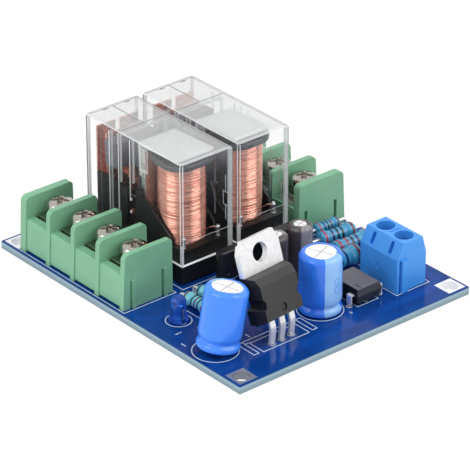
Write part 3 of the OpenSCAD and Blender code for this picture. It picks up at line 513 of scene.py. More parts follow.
def rounded(node, width, look, segments=2, pick=None, weigh=None):
    """The CAD node's own shape with its sharp edges rounded by width millimetres.

    pick gives a face another look, by its middle, normal and area in board millimetres.
    weigh gives an edge a share of the width, by its ends.
    """
    sharp_angle = 32
    work = bmesh.new()
    work.from_mesh(frame["nodes"][node].data)
    bmesh.ops.remove_doubles(work, verts=work.verts, dist=1e-7)
    bmesh.ops.dissolve_limit(work, angle_limit=math.radians(1), verts=work.verts, edges=work.edges)
    looks, indices = [look], []
    for face in work.faces:
        middle = (face.calc_center_median() - CORNER) / MM
        other = pick(middle, face.normal, face.calc_area() / MM ** 2) if pick else None
        if other and other not in looks:
            looks.append(other)
        indices.append(looks.index(other) if other else 0)
    if weigh:
        layer = work.edges.layers.float.new("bevel_weight_edge")
        for edge in work.edges:
            sharp = len(edge.link_faces) == 2 and edge.calc_face_angle(0) > math.radians(sharp_angle)
            a, b = ((v.co - CORNER) / MM for v in edge.verts)
            edge[layer] = weigh(a, b) if sharp else 0.0
    mesh = bpy.data.meshes.new(node + "_rounded")
    work.to_mesh(mesh)
    work.free()
    for entry in looks:
        mesh.materials.append(entry.material)
    mesh.polygons.foreach_set("material_index", indices)
    shade(mesh, sharp_angle)
    made = put(node + "_rounded", mesh)
    bevel = made.modifiers.new("edges", "BEVEL")
    bevel.width = width * MM
    bevel.segments = segments
    bevel.limit_method = "WEIGHT" if weigh else "ANGLE"
    bevel.angle_limit = math.radians(sharp_angle)
    bevel.use_clamp_overlap = True
    bevel.harden_normals = True
    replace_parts(made, node)
    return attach(made, body_of[node])


def dress(node, look):
    """A CAD node keeps its shape and gets its finish."""
    for slot in frame["nodes"][node].material_slots:
        slot.material = look.material


# Camera and light

CAMERA_AZIMUTH, CAMERA_ELEVATION = -40.116, 28.406
CAMERA_DISTANCE = 628.824 * MM
CAMERA_LENS = 246.28
CAMERA_AIM = at(36.358, 44.477)
LAMP_DISTANCE = 0.5
AMBIENT = 0.66


def direction(azimuth, elevation):
    a, e = math.radians(azimuth), math.radians(elevation)
    return Vector((math.sin(a) * math.cos(e), -math.cos(a) * math.cos(e), math.sin(e)))


def aim(thing, target, toward, distance):
    """Stands at a distance from the target and faces it."""
    thing.location = target + toward * distance
    thing.rotation_mode = "QUATERNION"
    thing.rotation_quaternion = (-toward).to_track_quat("-Z", "Y")


def add_camera():
    data = bpy.data.cameras.new("camera")
    data.lens = CAMERA_LENS
    data.sensor_width = 36
    data.clip_start, data.clip_end = 0.05, 10
    camera = put("camera", data)
    aim(camera, CAMERA_AIM, direction(CAMERA_AZIMUTH, CAMERA_ELEVATION), CAMERA_DISTANCE)
    bpy.context.scene.camera = camera


def add_lamp(name, azimuth, elevation, size, power, shine=True):
    """A soft square lamp that faces the middle of the board."""
    data = bpy.data.lights.new(name, "AREA")
    data.shape = "RECTANGLE"
    data.size, data.size_y = size
    data.energy = power
    lamp = put(name, data)
    aim(lamp, at(BOARD_W / 2, BOARD_D / 2, 5), direction(azimuth, elevation), LAMP_DISTANCE)
    lamp.visible_glossy = shine
    lamp.visible_camera = False


def add_world():
    """White where it is seen, and a little less as light on the object."""
    world = bpy.data.worlds.new("studio")
    bpy.context.scene.world = world
    tree = Tree(world)
    tree.nodes.clear()
    mix = tree.make("MixShader", Fac=tree.seen_directly())
    for slot, strength in ((1, AMBIENT), (2, 1.0)):
        light = tree.make("Background", Color=(1, 1, 1, 1), Strength=strength)
        tree.feed(mix, slot, light.outputs["Background"])
    tree.make("OutputWorld", Surface=mix.outputs["Shader"])


def add_floor():
    """A white floor that keeps a faint shadow under the board."""
    size = 1.2
    level = cad_low.z - 0.0002
    mesh = bpy.data.meshes.new("floor")
    mesh.from_pydata([(x, y, level) for x, y in rectangle(-size, -size, size, size)], [], [(0, 1, 2, 3)])
    finish = Finish("floor_white", (0.9, 0.9, 0.9, 1), 0.9, specular=0.0)
    shown = finish.math("MULTIPLY", finish.seen_directly(), 0.97)
    finish.blend(shown, finish.make("Emission", Strength=1.02))
    mesh.materials.append(finish.material)
    put("floor", mesh)


def rectangle(x0, y0, x1, y1):
    return [(x0, y0), (x1, y0), (x1, y1), (x0, y1)]


add_camera()
add_world()
add_floor()
add_lamp("key_right", 34, 38, (0.34, 0.34), 0.9)
add_lamp("key_left", -94, 32, (0.32, 0.36), 0.85)
add_lamp("top", -20, 80, (0.4, 0.4), 0.7, shine=False)
bpy.context.scene.view_settings.view_transform = "Standard"

# Board: print, traces and pads

PRINT_LOW, PRINT_HIGH = -0.01, 0.02
LINE = 0.17
PAD_RIM, TOP_RIM = 0.5, 0.2
BARRIER = {side: place_of(f"{side}_terminal_housing") for side in SIDES}
RELAY = {side: place_of(f"{side}_relay_cover") for side in SIDES}
POWER_LOW, POWER_HIGH = place_of("power_terminal_housing")[:2]
LAMP_MID = place_of("indicator_lens")[2]
RECTIFIER_LOW, RECTIFIER_HIGH, RECTIFIER_MID = place_of("rectifier_body")
CHIP_LOW, CHIP_HIGH, CHIP_MID = place_of("control_chip_body")
GRID, BARRIER_PITCH = 2.54, 7.62
COIL_PIN_X, COIL_PIN_Y, POLE_X = 4.2, 2.0, 2.8
LEG_X, LEG_Y, LEG_TURN = 16.87, 8.05, 5
LEANING, UPRIGHT = (5.35, 12.6), (29.7, 11.8)
SMALL = ((35.5, 24.3), (29.2, 24.1))
BARRIER_Y, BARRIER_LONG = 34.8, 32.18
BARRIER_LEAD_X, BARRIER_LEAD_Y = 10.9, 4.41
POLE_ROWS = (19.2, 22.9, 27.3)
POWER_LEAD_X, POWER_LEAD_Y = 48.5, 5.65
RECTIFIER_LEAD_X = 3.81
LARGE_LEAD, SMALL_LEAD = 1.75, 1.0

# Printed outline of the regulator, and printed rings: middle and radius
REGULATOR_PRINT = (11.4, 6.65, 22.5, 10.7)
PRINT_RINGS = [((5.0, 12.8), 4.4), (UPRIGHT, 4.45), (LAMP_MID.xy, 2.5), (SMALL[0], 2.75), (SMALL[1], 2.75)]

# Resistors: middle, body length and diameter, pitch of the leads, turn, and the bands' colours
RESISTORS = [
    ((49.0, 31.9, 2.9), 5.8, 2.4, 10.16, 0, "red navy black brown brown"),
    ((11.9, 26.35, 1.6), 6.4, 2.7, 10.16, 90, "brown black brown black brown"),
    ((15.5, 26.7, 1.6), 6.4, 2.7, 10.16, 90, "green brown black brown black"),
    ((48.5, 28.4, 2.6), 8.2, 3.1, 12.7, -5, "red navy black black brown"),
    ((48.5, 24.1, 2.6), 9.0, 3.1, 12.7, 0, "red red black navy brown"),
    ((41.4, 19.9, 2.9), 10.0, 4.1, 14.0, 0, "black brown black navy brown"),
]

# Straight strokes of the printed figures, as shares of their width and height
STROKES = {
    "1": [[(0.2, 0.8), (0.5, 1), (0.5, 0)]],
    "2": [[(0, 1), (1, 1), (1, 0.5), (0, 0.5), (0, 0), (1, 0)]],
    "3": [[(0, 1), (1, 1), (1, 0), (0, 0)], [(0.2, 0.5), (1, 0.5)]],
    "4": [[(0, 1), (0, 0.5), (1, 0.5)], [(1, 1), (1, 0)]],
    "+": [[(0, 0.5), (1, 0.5)], [(0.5, 0.1), (0.5, 0.9)]],
    "-": [[(0, 0.5), (1, 0.5)]],
}

# Printed figures: figure, x, y, height and turn
MARKS = [("1", 4.4, 21.6, 1.3, 90), ("2", 9.0, 20.6, 1.2, 90), ("1", 1.4, 17.4, 1.2, 0),
         ("+", 7.6, 17.4, 1.2, 0), ("1", 12.6, 12.4, 1.2, 0), ("3", 21.0, 12.4, 1.2, 0),
         ("2", 38.0, 8.5, 1.0, 0), ("+", 33.0, 6.6, 1.0, 0), ("+", 53.2, 14.2, 1.2, 90),
         ("-", 53.2, 9.0, 1.2, 90), ("3", 33.6, 29.0, 1.1, 0), ("4", 46.5, 21.2, 1.1, 0)]

# Copper runs on the top and under the board: points and width
TOP_TRACES = [([(6.8, 20.5), (6.8, 17.5), (1.6, 12.5), (1.6, 8)], 1.6),
              ([(17.9, 4.2), (30.5, 4.2), (33.5, 7.2)], 2.4), ([(14.4, 8), (14.4, 2.6)], 1.4),
              ([(37, 4.2), (52, 4.2), (54.6, 6.8), (54.6, 18)], 2.2),
              ([(19.5, 8), (19.5, 15), (24, 19.5), (24, 26)], 1.2),
              ([(11.9, 21.3), (11.9, 19), (9.2, 16.3)], 1.2),
              ([(15.5, 21.6), (15.5, 20), (19.2, 16.3)], 0.8),
              ([(8.5, 29), (3.2, 29), (1.8, 30.4), (1.8, 33.5)], 1.6),
              ([(24.5, 27.5), (24.5, 33), (27.5, 33.5)], 1.0), ([(42.5, 14.5), (42.5, 16.5), (46, 20)], 1.0),
              ([(53.9, 20.5), (53.9, 30), (55.2, 31.3), (55.2, 33.6)], 1.8),
              ([(25.5, 11.8), (22.6, 14.7), (22.6, 18)], 1.0)]
UNDER_TRACES = [([(12, 39), (12, 62)], 3.2), ([(45, 39), (45, 62)], 3.2),
                ([(18.8, 37), (18.8, 33), (24, 28)], 1.4),
                ([(38.5, 37), (38.5, 34), (33, 29)], 1.4), ([(18.8, 55), (15, 55), (12.2, 58)], 3.0),
                ([(24.4, 58.5), (33, 58.5)], 2.6), ([(38.5, 55), (42, 55), (44.8, 58)], 3.0),
                ([(14.4, 8), (8, 8), (5.6, 10.6)], 2.0), ([(17, 8), (17, 16), (22, 21), (36, 21)], 1.8),
                ([(19.5, 8), (28, 8), (28, 11.8)], 1.6), ([(31.4, 11.8), (34.6, 9.1)], 1.4),
                ([(42.2, 9.1), (48.5, 9.1)], 2.0), ([(42.2, 14.2), (48.5, 14.4)], 2.0),
                ([(20, 30.3), (20, 25)], 0.8), ([(22.6, 30.3), (22.6, 24), (29.2, 23)], 0.8),
                ([(30.2, 30.3), (30.2, 25)], 0.8), ([(33, 30.3), (34, 27), (43, 24)], 0.8),
                ([(6.8, 27), (11.9, 31.4)], 1.0)]


def add_print():
    shape = Shape()

    def line(points, closed=True, width=LINE):
        shape.add(*ribbon_parts(points, width, PRINT_LOW, PRINT_HIGH, closed))

    for side in SIDES:
        low, high, middle = BARRIER[side]
        line(rectangle(low.x - 0.25, low.y - 0.3, high.x + 0.25, high.y + 0.3))
        low, high, middle = RELAY[side]
        line(rectangle(low.x - 0.5, low.y - 0.8, high.x + 0.5, high.y + 0.6))
    line(rectangle(POWER_LOW.x - 0.3, POWER_LOW.y + 0.1, POWER_HIGH.x + 0.7, POWER_HIGH.y + 0.4))
    line(rectangle(*REGULATOR_PRINT))
    for x in (9.3, 23.5):
        line(rectangle(x, 6.9, x + 1.15, 11.8))
    line([(10.45, 11.8), (23.5, 11.8)], False)
    line([(10.45, 10.9), (11.4, 10.9)], False)
    for (x, y), radius in PRINT_RINGS:
        line(arc(x, y, radius, 0, 360, 60)[:-1])
    end = RECTIFIER_HIGH.y - 0.4
    line([(35.7, end), (35.7, 7.9), (40.9, 7.9), (40.9, end)], False)
    line(rectangle(CHIP_LOW.x - 0.3, CHIP_LOW.y - 0.3, CHIP_HIGH.x + 0.3, CHIP_HIGH.y + 0.3))
    for (x, y, z), length, width, pitch, turn, names in RESISTORS:
        across, along = length / 2 + 0.4, width / 2 + 0.3
        if turn == 90:
            across, along = along, across
        line(rectangle(x - across, y - along, x + across, y + along))
    for figure, x, y, height, turn in MARKS:
        for stroke in STROKES[figure]:
            ends = [spin(turn) @ Vector((u * height * 0.55, v * height, 0)) for u, v in stroke]
            line([(x + e.x, y + e.y) for e in ends], False, 0.2)
    shape.make("board_print", print_white, "solder")


def add_traces():
    """Copper under the mask stands a little proud and looks lighter."""
    shape = Shape()
    for runs, low, high in ((TOP_TRACES, -0.01, 0.012), (UNDER_TRACES, -BOARD_T - 0.012, -BOARD_T + 0.01)):
        for points, width in runs:
            shape.add(*ribbon_parts(points, width, low, high))
    shape.make("board_traces", trace, "board")


def lead_places():
    """Each lead hole of the board: x, y and radius, in board millimetres."""
    places = []
    for side in SIDES:
        low, high, middle = BARRIER[side]
        x = low.x + BARRIER_LEAD_X if side == "left" else high.x - BARRIER_LEAD_X
        for way in range(4):
            y = BARRIER_Y + BARRIER_LEAD_Y + way * BARRIER_PITCH
            places.append((x, y if side == "left" else BARRIER_Y * 2 + BARRIER_LONG - y, 0.7))
        low, high, middle = RELAY[side]
        places += [(middle.x + s * COIL_PIN_X, low.y + COIL_PIN_Y, 0.6) for s in (-1, 1)]
        places += [(middle.x + s * POLE_X, low.y + y, 0.6) for s in (-1, 1) for y in POLE_ROWS]
    turn = math.radians(LEG_TURN)
    run, rise = GRID * math.cos(turn), GRID * math.sin(turn)
    places += [(LEG_X + i * run, LEG_Y + i * rise, 0.55) for i in (-1, 0, 1)]
    places += [(POWER_LEAD_X, POWER_LOW.y + POWER_LEAD_Y + s * GRID, 0.75) for s in (-1, 1)]
    places += [(LEANING[0] + 0.2, LEANING[1] + s * LARGE_LEAD, 0.4) for s in (-1, 1)]
    places += [(UPRIGHT[0] + s * LARGE_LEAD, UPRIGHT[1], 0.4) for s in (-1, 1)]
    places += [(x, y + s * SMALL_LEAD, 0.4) for x, y in SMALL for s in (-1, 1)]
    places += [(LAMP_MID.x, LAMP_MID.y + s * GRID / 2, 0.45) for s in (-1, 1)]
    places += [(RECTIFIER_MID.x + sx * RECTIFIER_LEAD_X, RECTIFIER_MID.y + sy * GRID, 0.45)
               for sx in (-1, 1) for sy in (-1, 1)]
    places += [(CHIP_MID.x + (i - 3.5) * GRID, CHIP_MID.y, 0.45) for i in range(8)]
    for (x, y, z), length, width, pitch, turn, names in RESISTORS:
        c, s = math.cos(math.radians(turn)), math.sin(math.radians(turn))
        places += [(x + k * pitch / 2 * c, y + k * pitch / 2 * s, 0.4) for k in (-1, 1)]
    return places


def add_pads():
    for name, level, rim, inner, outer in (("lead_pads_top", 0, TOP_RIM, -0.01, 0.03),
                                           ("lead_pads_under", -BOARD_T, PAD_RIM, 0.01, -0.03)):
        shape = Shape()
        for x, y, radius in lead_places():
            ring = [(radius, inner), (radius, outer), (radius + rim, outer), (radius + rim, inner)]
            ring = ring if level == 0 else [ring[0]] + ring[:0:-1]
            shape.add(*lathe_parts(ring, 28, move(x, y, level), True))
        shape.make(name, pad_tin, "solder")


def add_solder():
    """Concave solder fillets round the cut lead ends."""
    shape = Shape()
    draw = random.Random(11)
    low = place_of("solder_joints")[0].z
    for x, y, radius in lead_places():
        foot, stem = radius + 0.38, min(0.42, radius * 0.8)
        height = draw.uniform(0.8, 1.05)
        profile = [(0, 0.0), (foot, 0.0)]
        profile += [(stem + (foot - stem) * (1 - i / 6) ** 2.2, -height * (i / 6)) for i in range(1, 7)]
        end = low + BOARD_T + draw.uniform(0.0, 0.3)
        profile += [(stem * 0.95, end + 0.08), (stem * 0.7, end), (0, end)]
        shape.add(*lathe_parts(profile, 24, move(x, y, -BOARD_T)))
    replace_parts(shape.make("solder_fillets", solder, "solder", angle=50), "solder_joints")


dress("circuit_board", mask)
dress("corner_pads", pad_tin)
add_print()
add_traces()
add_pads()
add_solder()

# Terminals

WASHER_Z, SPRING_Z, HEAD_Z, SHANK_Z = 6.6, 7.4, 8.3, 1.8
HEAD_R, HEAD_RIM, HEAD_H, HEAD_SIDES = 2.8, 0.9, 2.4, 96
RECESS_HALF, RECESS_REACH, RECESS_DEPTH = 0.4, 1.6, 1.0


def screw_head_parts():
    """A domed pan head with a cross recess, its seat at height zero."""
    flat = HEAD_R - HEAD_RIM
    steps = [flat * i / 24 for i in range(25)]
    steps += [flat + HEAD_RIM * math.sin(math.radians(90 * i / 6)) for i in range(1, 7)]
    levels = []
    for reach in steps:
        if reach <= flat:
            levels.append((reach, HEAD_H - 0.2 * (reach / flat) ** 2, RECESS_DEPTH))
        else:
            round_off = math.sqrt(max(0.0, 1 - ((reach - flat) / HEAD_RIM) ** 2))
            levels.append((reach, 1.2 + (HEAD_H - 1.4) * round_off, RECESS_DEPTH))
    levels += [(HEAD_R, 0.2, 0), (HEAD_R - 0.15, 0.0, 0), (1.6, 0.0, 0)]
    verts = []
    for reach, level, depth in levels:
        for a in turns_of(HEAD_SIDES, 0.5):
            u, w = sorted((abs(reach * math.cos(a - 0.785)), abs(reach * math.sin(a - 0.785))))
            arm = clamp((RECESS_HALF + 0.06 - u) / 0.12) * clamp((RECESS_REACH + 0.1 - w) / 0.25)
            verts.append(Vector((reach * math.cos(a), reach * math.sin(a), level - depth * arm)))
    return verts, skin(len(levels), HEAD_SIDES, flip=True)


def spring_washer_parts(inner, outer, height, rise):
    """A split ring that climbs a little from one end to the other."""
    steps = 48
    verts = []
    for i in range(steps + 1):
        a = math.radians(8 + 344 * i / steps)
        for r, up in ((inner, 0), (outer, 0), (outer, height), (inner, height)):
            verts.append(Vector((r * math.cos(a), r * math.sin(a), rise * i / steps + up)))
    last = 4 * steps
    return verts, skin(steps + 1, 4) + [(3, 2, 1, 0), (last, last + 1, last + 2, last + 3)]


def plate_parts(width, depth, thickness, edge):
    """A square plate with broken edges, centred on the axis."""
    verts = []
    for inset, z in ((edge, 0.0), (0.0, edge), (0.0, thickness - edge), (edge, thickness)):
        x, y = width / 2 - inset, depth / 2 - inset
        verts += [Vector((x, y, z)), Vector((-x, y, z)), Vector((-x, -y, z)), Vector((x, -y, z))]
    return verts, skin(4, 4) + [(3, 2, 1, 0), (12, 13, 14, 15)]


def add_clamp_screw(node):
    low, high, middle = place_of(node)
    shape = Shape()
    for (verts, faces), z in ((screw_head_parts(), HEAD_Z),
                              (spring_washer_parts(1.6, 2.65, 0.65, 0.22), SPRING_Z),
                              (plate_parts(high.x - low.x, high.y - low.y, 0.8, 0.12), WASHER_Z)):
        shape.add([move(middle.x, middle.y) @ (v + Vector((0, 0, z))) for v in verts], faces)
    thread = [(0, SHANK_Z), (1.2, SHANK_Z)]
    for turn in range(12):
        z = SHANK_Z + 0.1 + turn * 0.5
        thread += [(1.24, z), (1.5, z + 0.2), (1.5, z + 0.26)]
    shape.add(*lathe_parts(thread + [(1.5, HEAD_Z)], 24, move(middle.x, middle.y)))
    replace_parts(shape.make(node + "_turned", screw_metal, slot_of[node], body_of[node], 40), node)


for side in SIDES:
    rounded(f"{side}_terminal_housing", 0.2, green, 3)
    dress(f"{side}_terminal_contacts", tin)
    for number in range(1, 5):
        add_clamp_screw(f"{side}_clamp_screw_{number}")
rounded("power_terminal_housing", 0.1, blue)
dress("power_terminal_cages", tin)
for number in (1, 2):
    rounded(f"power_clamp_screw_{number}", 0.1, screw_metal)

# Relays

COIL_Y = 7.6
WALL, TOP_SKIN = 0.6, 0.03
TURNS, TURN_ROWS, COIL_SIDES, BORE = 104, 4, 96, 3.02


def add_winding(side, seed):
    """Fine turns of wire between the bobbin's flanges, not quite even."""
    low, high, middle = place_of(f"{side}_relay_winding")
    radius, height = (high.x - low.x) / 2, high.z - low.z
    draw = random.Random(seed)
    swell = [draw.gauss(0, 0.005) for _ in range(TURNS + 1)]
    sunk = [0.04 if draw.random() < 0.3 else 0.0 for _ in range(TURNS + 1)]
    drift = [draw.uniform(0, 2 * math.pi) for _ in range(TURNS + 1)]
    slow = [draw.uniform(0, 2 * math.pi) for _ in range(4)]
    verts = []

    def ring(reach, z):
        for a in turns_of(COIL_SIDES):
            r = reach(a, z)
            verts.append((middle.x + r * math.cos(a), middle.y + r * math.sin(a), z))

    ring(lambda a, z: BORE, low.z)
    rows = TURNS * TURN_ROWS
    for row in range(rows + 1):
        turn = row // TURN_ROWS
        wire = abs(math.sin(math.pi * row / TURN_ROWS))

        def reach(a, z):
            uneven = swell[turn] + 0.004 * math.sin(7 * a + drift[turn])
            uneven -= sunk[turn] * (0.6 + 0.4 * math.sin(2 * a + drift[turn]))
            wave = sum(math.sin(z * (0.9 + 0.7 * n) + slow[n] + a * (n % 2)) for n in range(4)) * 0.003
            return radius - 0.12 - 0.05 * (1 - wire) + uneven + wave

        ring(reach, low.z + height * row / rows)
    ring(lambda a, z: BORE, high.z)
    shape = Shape()
    shape.add(verts, skin(rows + 3, COIL_SIDES, wrap=True))
    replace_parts(shape.make(f"{side}_relay_turns", wire_copper, "copper", angle=60), f"{side}_relay_winding")


def add_cover(side):
    """Clear cover; its small inner rib faces take a pale colour as painted highlight, and its top a pale haze
    as painted reflection.
    """
    low, high, middle = RELAY[side]
    near = 0.02

    def pick(middle, normal, area):
        if normal.z > 0.9 and middle.z > high.z - near:
            return clear_top_painted_reflection
        inside = all(low[i] + WALL + near < middle[i] < high[i] - WALL - near for i in (0, 1))
        return clear_rib_painted_highlight if inside and area < 14 and middle.z < high.z - WALL - near else None

    def weigh(a, b):
        planes = sum(abs(a[i] - limit[i]) < near and abs(b[i] - limit[i]) < near
                     for i in range(3) for limit in (low, high))
        return 1.0 if planes > 1 else 0.2

    cover = rounded(f"{side}_relay_cover", 0.3, clear, 3, pick, weigh)
    ceiling = at(0, 0, high.z - near).z
    for vertex in cover.data.vertices:
        if vertex.co.z > ceiling:
            vertex.co.z -= TOP_SKIN * MM


def add_cover_lines(side):
    """Painted highlights: thin bars and two small drops of pale colour along the near edges and ribs, and
    grey bars along the far ones, stand in for the lines light draws on the clear cover.
    """
    low, high, middle = RELAY[side]
    skin_depth = 0.01
    bright, rib, grey_line, foot = range(4)
    shape = Shape()

    def bar(x, y, z, look):
        """A thin bar. Each pair counts from the low side, or from the high side where it is negative."""
        ends = [sorted(low[axis] + v if v >= 0 else high[axis] + v for v in pair)
                for axis, pair in enumerate((x, y, z))]
        shape.add(*box_parts([e[0] for e in ends], [e[1] for e in ends]), look)

    whole, top, lip = (0.3, -0.3), (-TOP_SKIN, -0.002), (0.0, 0.4)
    face, wall = (skin_depth, 0.12), (WALL, -WALL)
    bar((skin_depth, 0.1), (0.42, 0.54), whole, bright)
    bar((0.34, 0.46), (skin_depth, 0.1), whole, bright)
    bar((-0.85, -0.12), (0.05, WALL), whole, rib)
    bar((-0.12, -skin_depth), (0.1, 0.3), whole, grey_line)
    bar((0.12, 0.7), (-WALL, -0.05), whole, rib)
    bar(face, (-0.3, -0.1), whole, grey_line)
    bar((-WALL, -0.1), (-WALL, -0.1), whole, rib)
    for line, along_x, along_y in (((0.1, 0.22), bright, bright), ((WALL, WALL + 0.12), bright, rib),
                                   ((-0.22, -0.08), grey_line, grey_line),
                                   ((-WALL - 0.12, -WALL), grey_line, grey_line)):
        bar(whole, line, top, along_x)
        bar(line, whole, top, along_y)
    for line, look in (((skin_depth, 0.1), foot), ((-0.1, -skin_depth), rib)):
        bar(whole, line, lip, look)
        bar(line, whole, lip, look)
    bar((0.5, -0.5), (WALL, WALL + 0.06), (4.55, 4.64), rib)
    bar((skin_depth, 0.17), (skin_depth, 0.17), (0.0, 4.6), bright)
    for start, stop, level, look in ((18.75, 18.9, whole, grey_line), (19.0, 19.14, whole, bright),
                                     (21.8, 21.95, (0.3, -0.8), bright), (15.5, 15.62, (8.3, -0.5), bright),
                                     (24.4, 24.5, (0.3, -0.8), grey_line)):
        bar(face, (start, stop), level, look)
    mid = (high.x - low.x) / 2
    bar(wall, (18.9, 19.1), top, grey_line)
    bar(wall, (19.1, 19.35), top, rib)
    bar((mid - 0.22, mid - 0.02), (19.3, -WALL), top, grey_line)
    bar((mid - 0.02, mid + 0.22), (19.3, -WALL), top, rib)
    for x in (3.6, 8.9):
        bar((x, x + 1.2), (-1.1, -0.7), top, grey_line)
    drop = [(0, -0.32), (0.2, -0.22), (0.26, 0.0), (0.2, 0.22), (0, 0.32)]
    for z in (8.3, 5.6):
        shape.add(*lathe_parts(drop, 12, move(low.x + 0.32, low.y + 15.7, low.z + z)), bright)
    shape.make(f"{side}_relay_cover_lines", [clear_rim_painted_highlight, clear_rib_painted_highlight, clear_edge_painted_grey, clear_foot_painted_glow], "clear_cover")


def add_coil_wires(side):
    """Thin wires from the winding's foot to the two coil pins, with beads of solder on each."""
    low, high, middle = RELAY[side]
    bead = [(0, -1.68), (0.3, -1.65), (0.4, -1.35), (0.4, -1.1), (0.3, -0.8), (0.28, -0.5), (0.42, -0.2),
            (0.44, 0.12), (0.3, 0.4), (0, 0.48)]
    wires, beads = Shape(), Shape()
    for way in (-1, 1):
        pin = Vector((middle.x + way * COIL_PIN_X, low.y + COIL_PIN_Y, 8.7))
        foot = Vector((middle.x + way * POLE_X, low.y + COIL_Y - 4.0, 8.0))
        path = smooth_path([foot, foot.lerp(pin, 0.5) + Vector((0, 0, 0.3)), pin])
        wires.add(*tube_parts(path, 0.08, 8))
        beads.add(*lathe_parts(bead, 20, move(*pin)))
    wires.make(f"{side}_relay_coil_wires", blade_copper, "copper")
    beads.make(f"{side}_relay_coil_beads", solder, "solder", angle=70)


def add_relay_print(side):
    """A plain wiring figure printed on the outer face towards +x."""
    low, high, middle = RELAY[side]
    lines = [([(2.2, 9.5), (2.2, 12.6)], False), ([(1.5, 12.6), (2.9, 12.6), (2.9, 15.4), (1.5, 15.4)], True),
             ([(2.2, 15.4), (2.2, 19.0)], False)]
    for y in (5.4, 8.6):
        lines.append(([(y, 9.5), (y, 13.0), (y + 1.2, 16.0)], False))
        lines.append(([(y, 19.0), (y, 16.4), (y - 0.8, 16.4)], False))
    shape = Shape()
    for points, closed in lines:
        verts, faces = ribbon_parts(points, 0.22, 0, 0.015, closed)
        shape.add([(high.x + 0.005 + v[2], low.y + v[0], v[1]) for v in verts], faces)
    shape.make(f"{side}_relay_figure", print_white, "clear_cover")


# Rounded pieces of a relay: width of the rounding, finish, and steps where not two
RELAY_PIECES = {"base": (0.12, black), "bobbin": (0.3, bobbin_black, 4), "yoke": (0.12, steel),
                "armature": (0.25, armature_steel, 3), "carrier": (0.15, grey),
                "moving_contacts": (0.06, blade_copper), "fixed_contacts": (0.06, blade_copper)}

for side, seed in (("left", 3), ("right", 8)):
    add_cover(side)
    add_cover_lines(side)
    for piece, how in RELAY_PIECES.items():
        rounded(f"{side}_relay_{piece}", *how)
    dress(f"{side}_relay_core", steel)
    dress(f"{side}_relay_coil_pins", tin)
    add_winding(side, seed)
    add_coil_wires(side)
    add_relay_print(side)

# Regulator, chip and rectifier


def rectifier_pick(middle, normal, area):
    """The top takes a paler copy of the package colour (painted light), and the faces towards -x a darker one
    (painted shade).
    """
    if normal.z > 0.9 and middle.z > RECTIFIER_HIGH.z - 0.1:
        return dark_package_painted_light_top
    return dark_package_painted_shade_side if normal.x < -0.7 else None


# Faces towards -x take the darker copy of the package colour: painted shade
def regulator_pick(middle, normal, area):
    return package_painted_shade_side if normal.x < -0.6 else None


def add_notch():
    """A short moulded mark on the rectifier's top, in the darker copy of the package colour: painted shade,
    as in a recess.
    """
    x, y, top = RECTIFIER_LOW.x + 1.55, RECTIFIER_LOW.y, RECTIFIER_HIGH.z
    shape = Shape()
    shape.add(*ribbon_parts([(x, y + 0.8), (x, y + 2.4)], 0.3, top - 0.01, top + 0.006))
    shape.make("rectifier_notch", dark_package_painted_shade_side, "package")


rounded("regulator_body", 0.12, package, pick=regulator_pick)
rounded("regulator_tab", 0.18, tab_metal, 3)
rounded("regulator_outer_legs", 0.04, leg_metal, 1)
rounded("rectifier_body", 0.12, dark_package, pick=rectifier_pick)
add_notch()
rounded("rectifier_pins", 0.04, leg_metal)
rounded("control_chip_body", 0.3, chip_package, 3)
dress("control_chip_pins", tin)

# Capacitors

LARGE_RADIUS, LARGE_HEIGHT = 4.15, 12.3
SMALL_RADIUS, SMALL_HEIGHT = 2.45, 11.1
SLEEVE_T = 0.12
CAN_BASE, LEANING_BASE = 0.1, 0.75
CAN_WALL, CAN_SIDES, TOP_RINGS = 0.16, 120, 28
SCORE_TURN, SCORE_HALF, SCORE_DEPTH, SCORE_SHOWN = 0.35, 0.15, 0.1, 0.1
CAP_LEAN, LEAN_HEADING = 9.7, -11.5
MARK_LEVEL = 6.6
# The groove that is rolled into a can near its foot: height, share of the radius, and step
GROOVE = [(1.0, 1.0, 0.02), (1.2, 0.975, 0), (1.37, 0.94, 0), (1.53, 0.9, 0), (1.7, 0.868, 0),
          (1.85, 0.86, 0), (2.0, 0.868, 0), (2.22, 0.9, 0), (2.45, 0.94, 0), (2.68, 0.975, 0),
          (2.95, 1.0, 0.02)]


def neck_points(radius, inset):
    return [(radius * share - step - inset, z) for z, share, step in GROOVE]


def sleeve_profile(radius, height):
    """Outer face of a shrunk sleeve, from its lower lip to the rolled edge on the can's top."""
    profile = [(radius - 0.8, 0.12)] + arc(radius - 0.4, 0.52, 0.4, -90, 0, 6)
    profile += neck_points(radius, 0) + [(radius, 3.6), (radius, height - 3), (radius, height - 1.4)]
    profile += arc(radius - 0.95, height - 0.95, 0.95, 0, 72, 10)
    rolled = [(0.98, 0.02), (1.08, -0.02), (1.12, -0.1)]
    return profile + [(radius - inset, height + rise) for inset, rise in rolled]


def off_score(x, y):
    """How far a place on a can's top is from the nearer of its two scored lines."""
    c, s = math.cos(SCORE_TURN), math.sin(SCORE_TURN)
    return min(abs(x * c + y * s), abs(y * c - x * s))


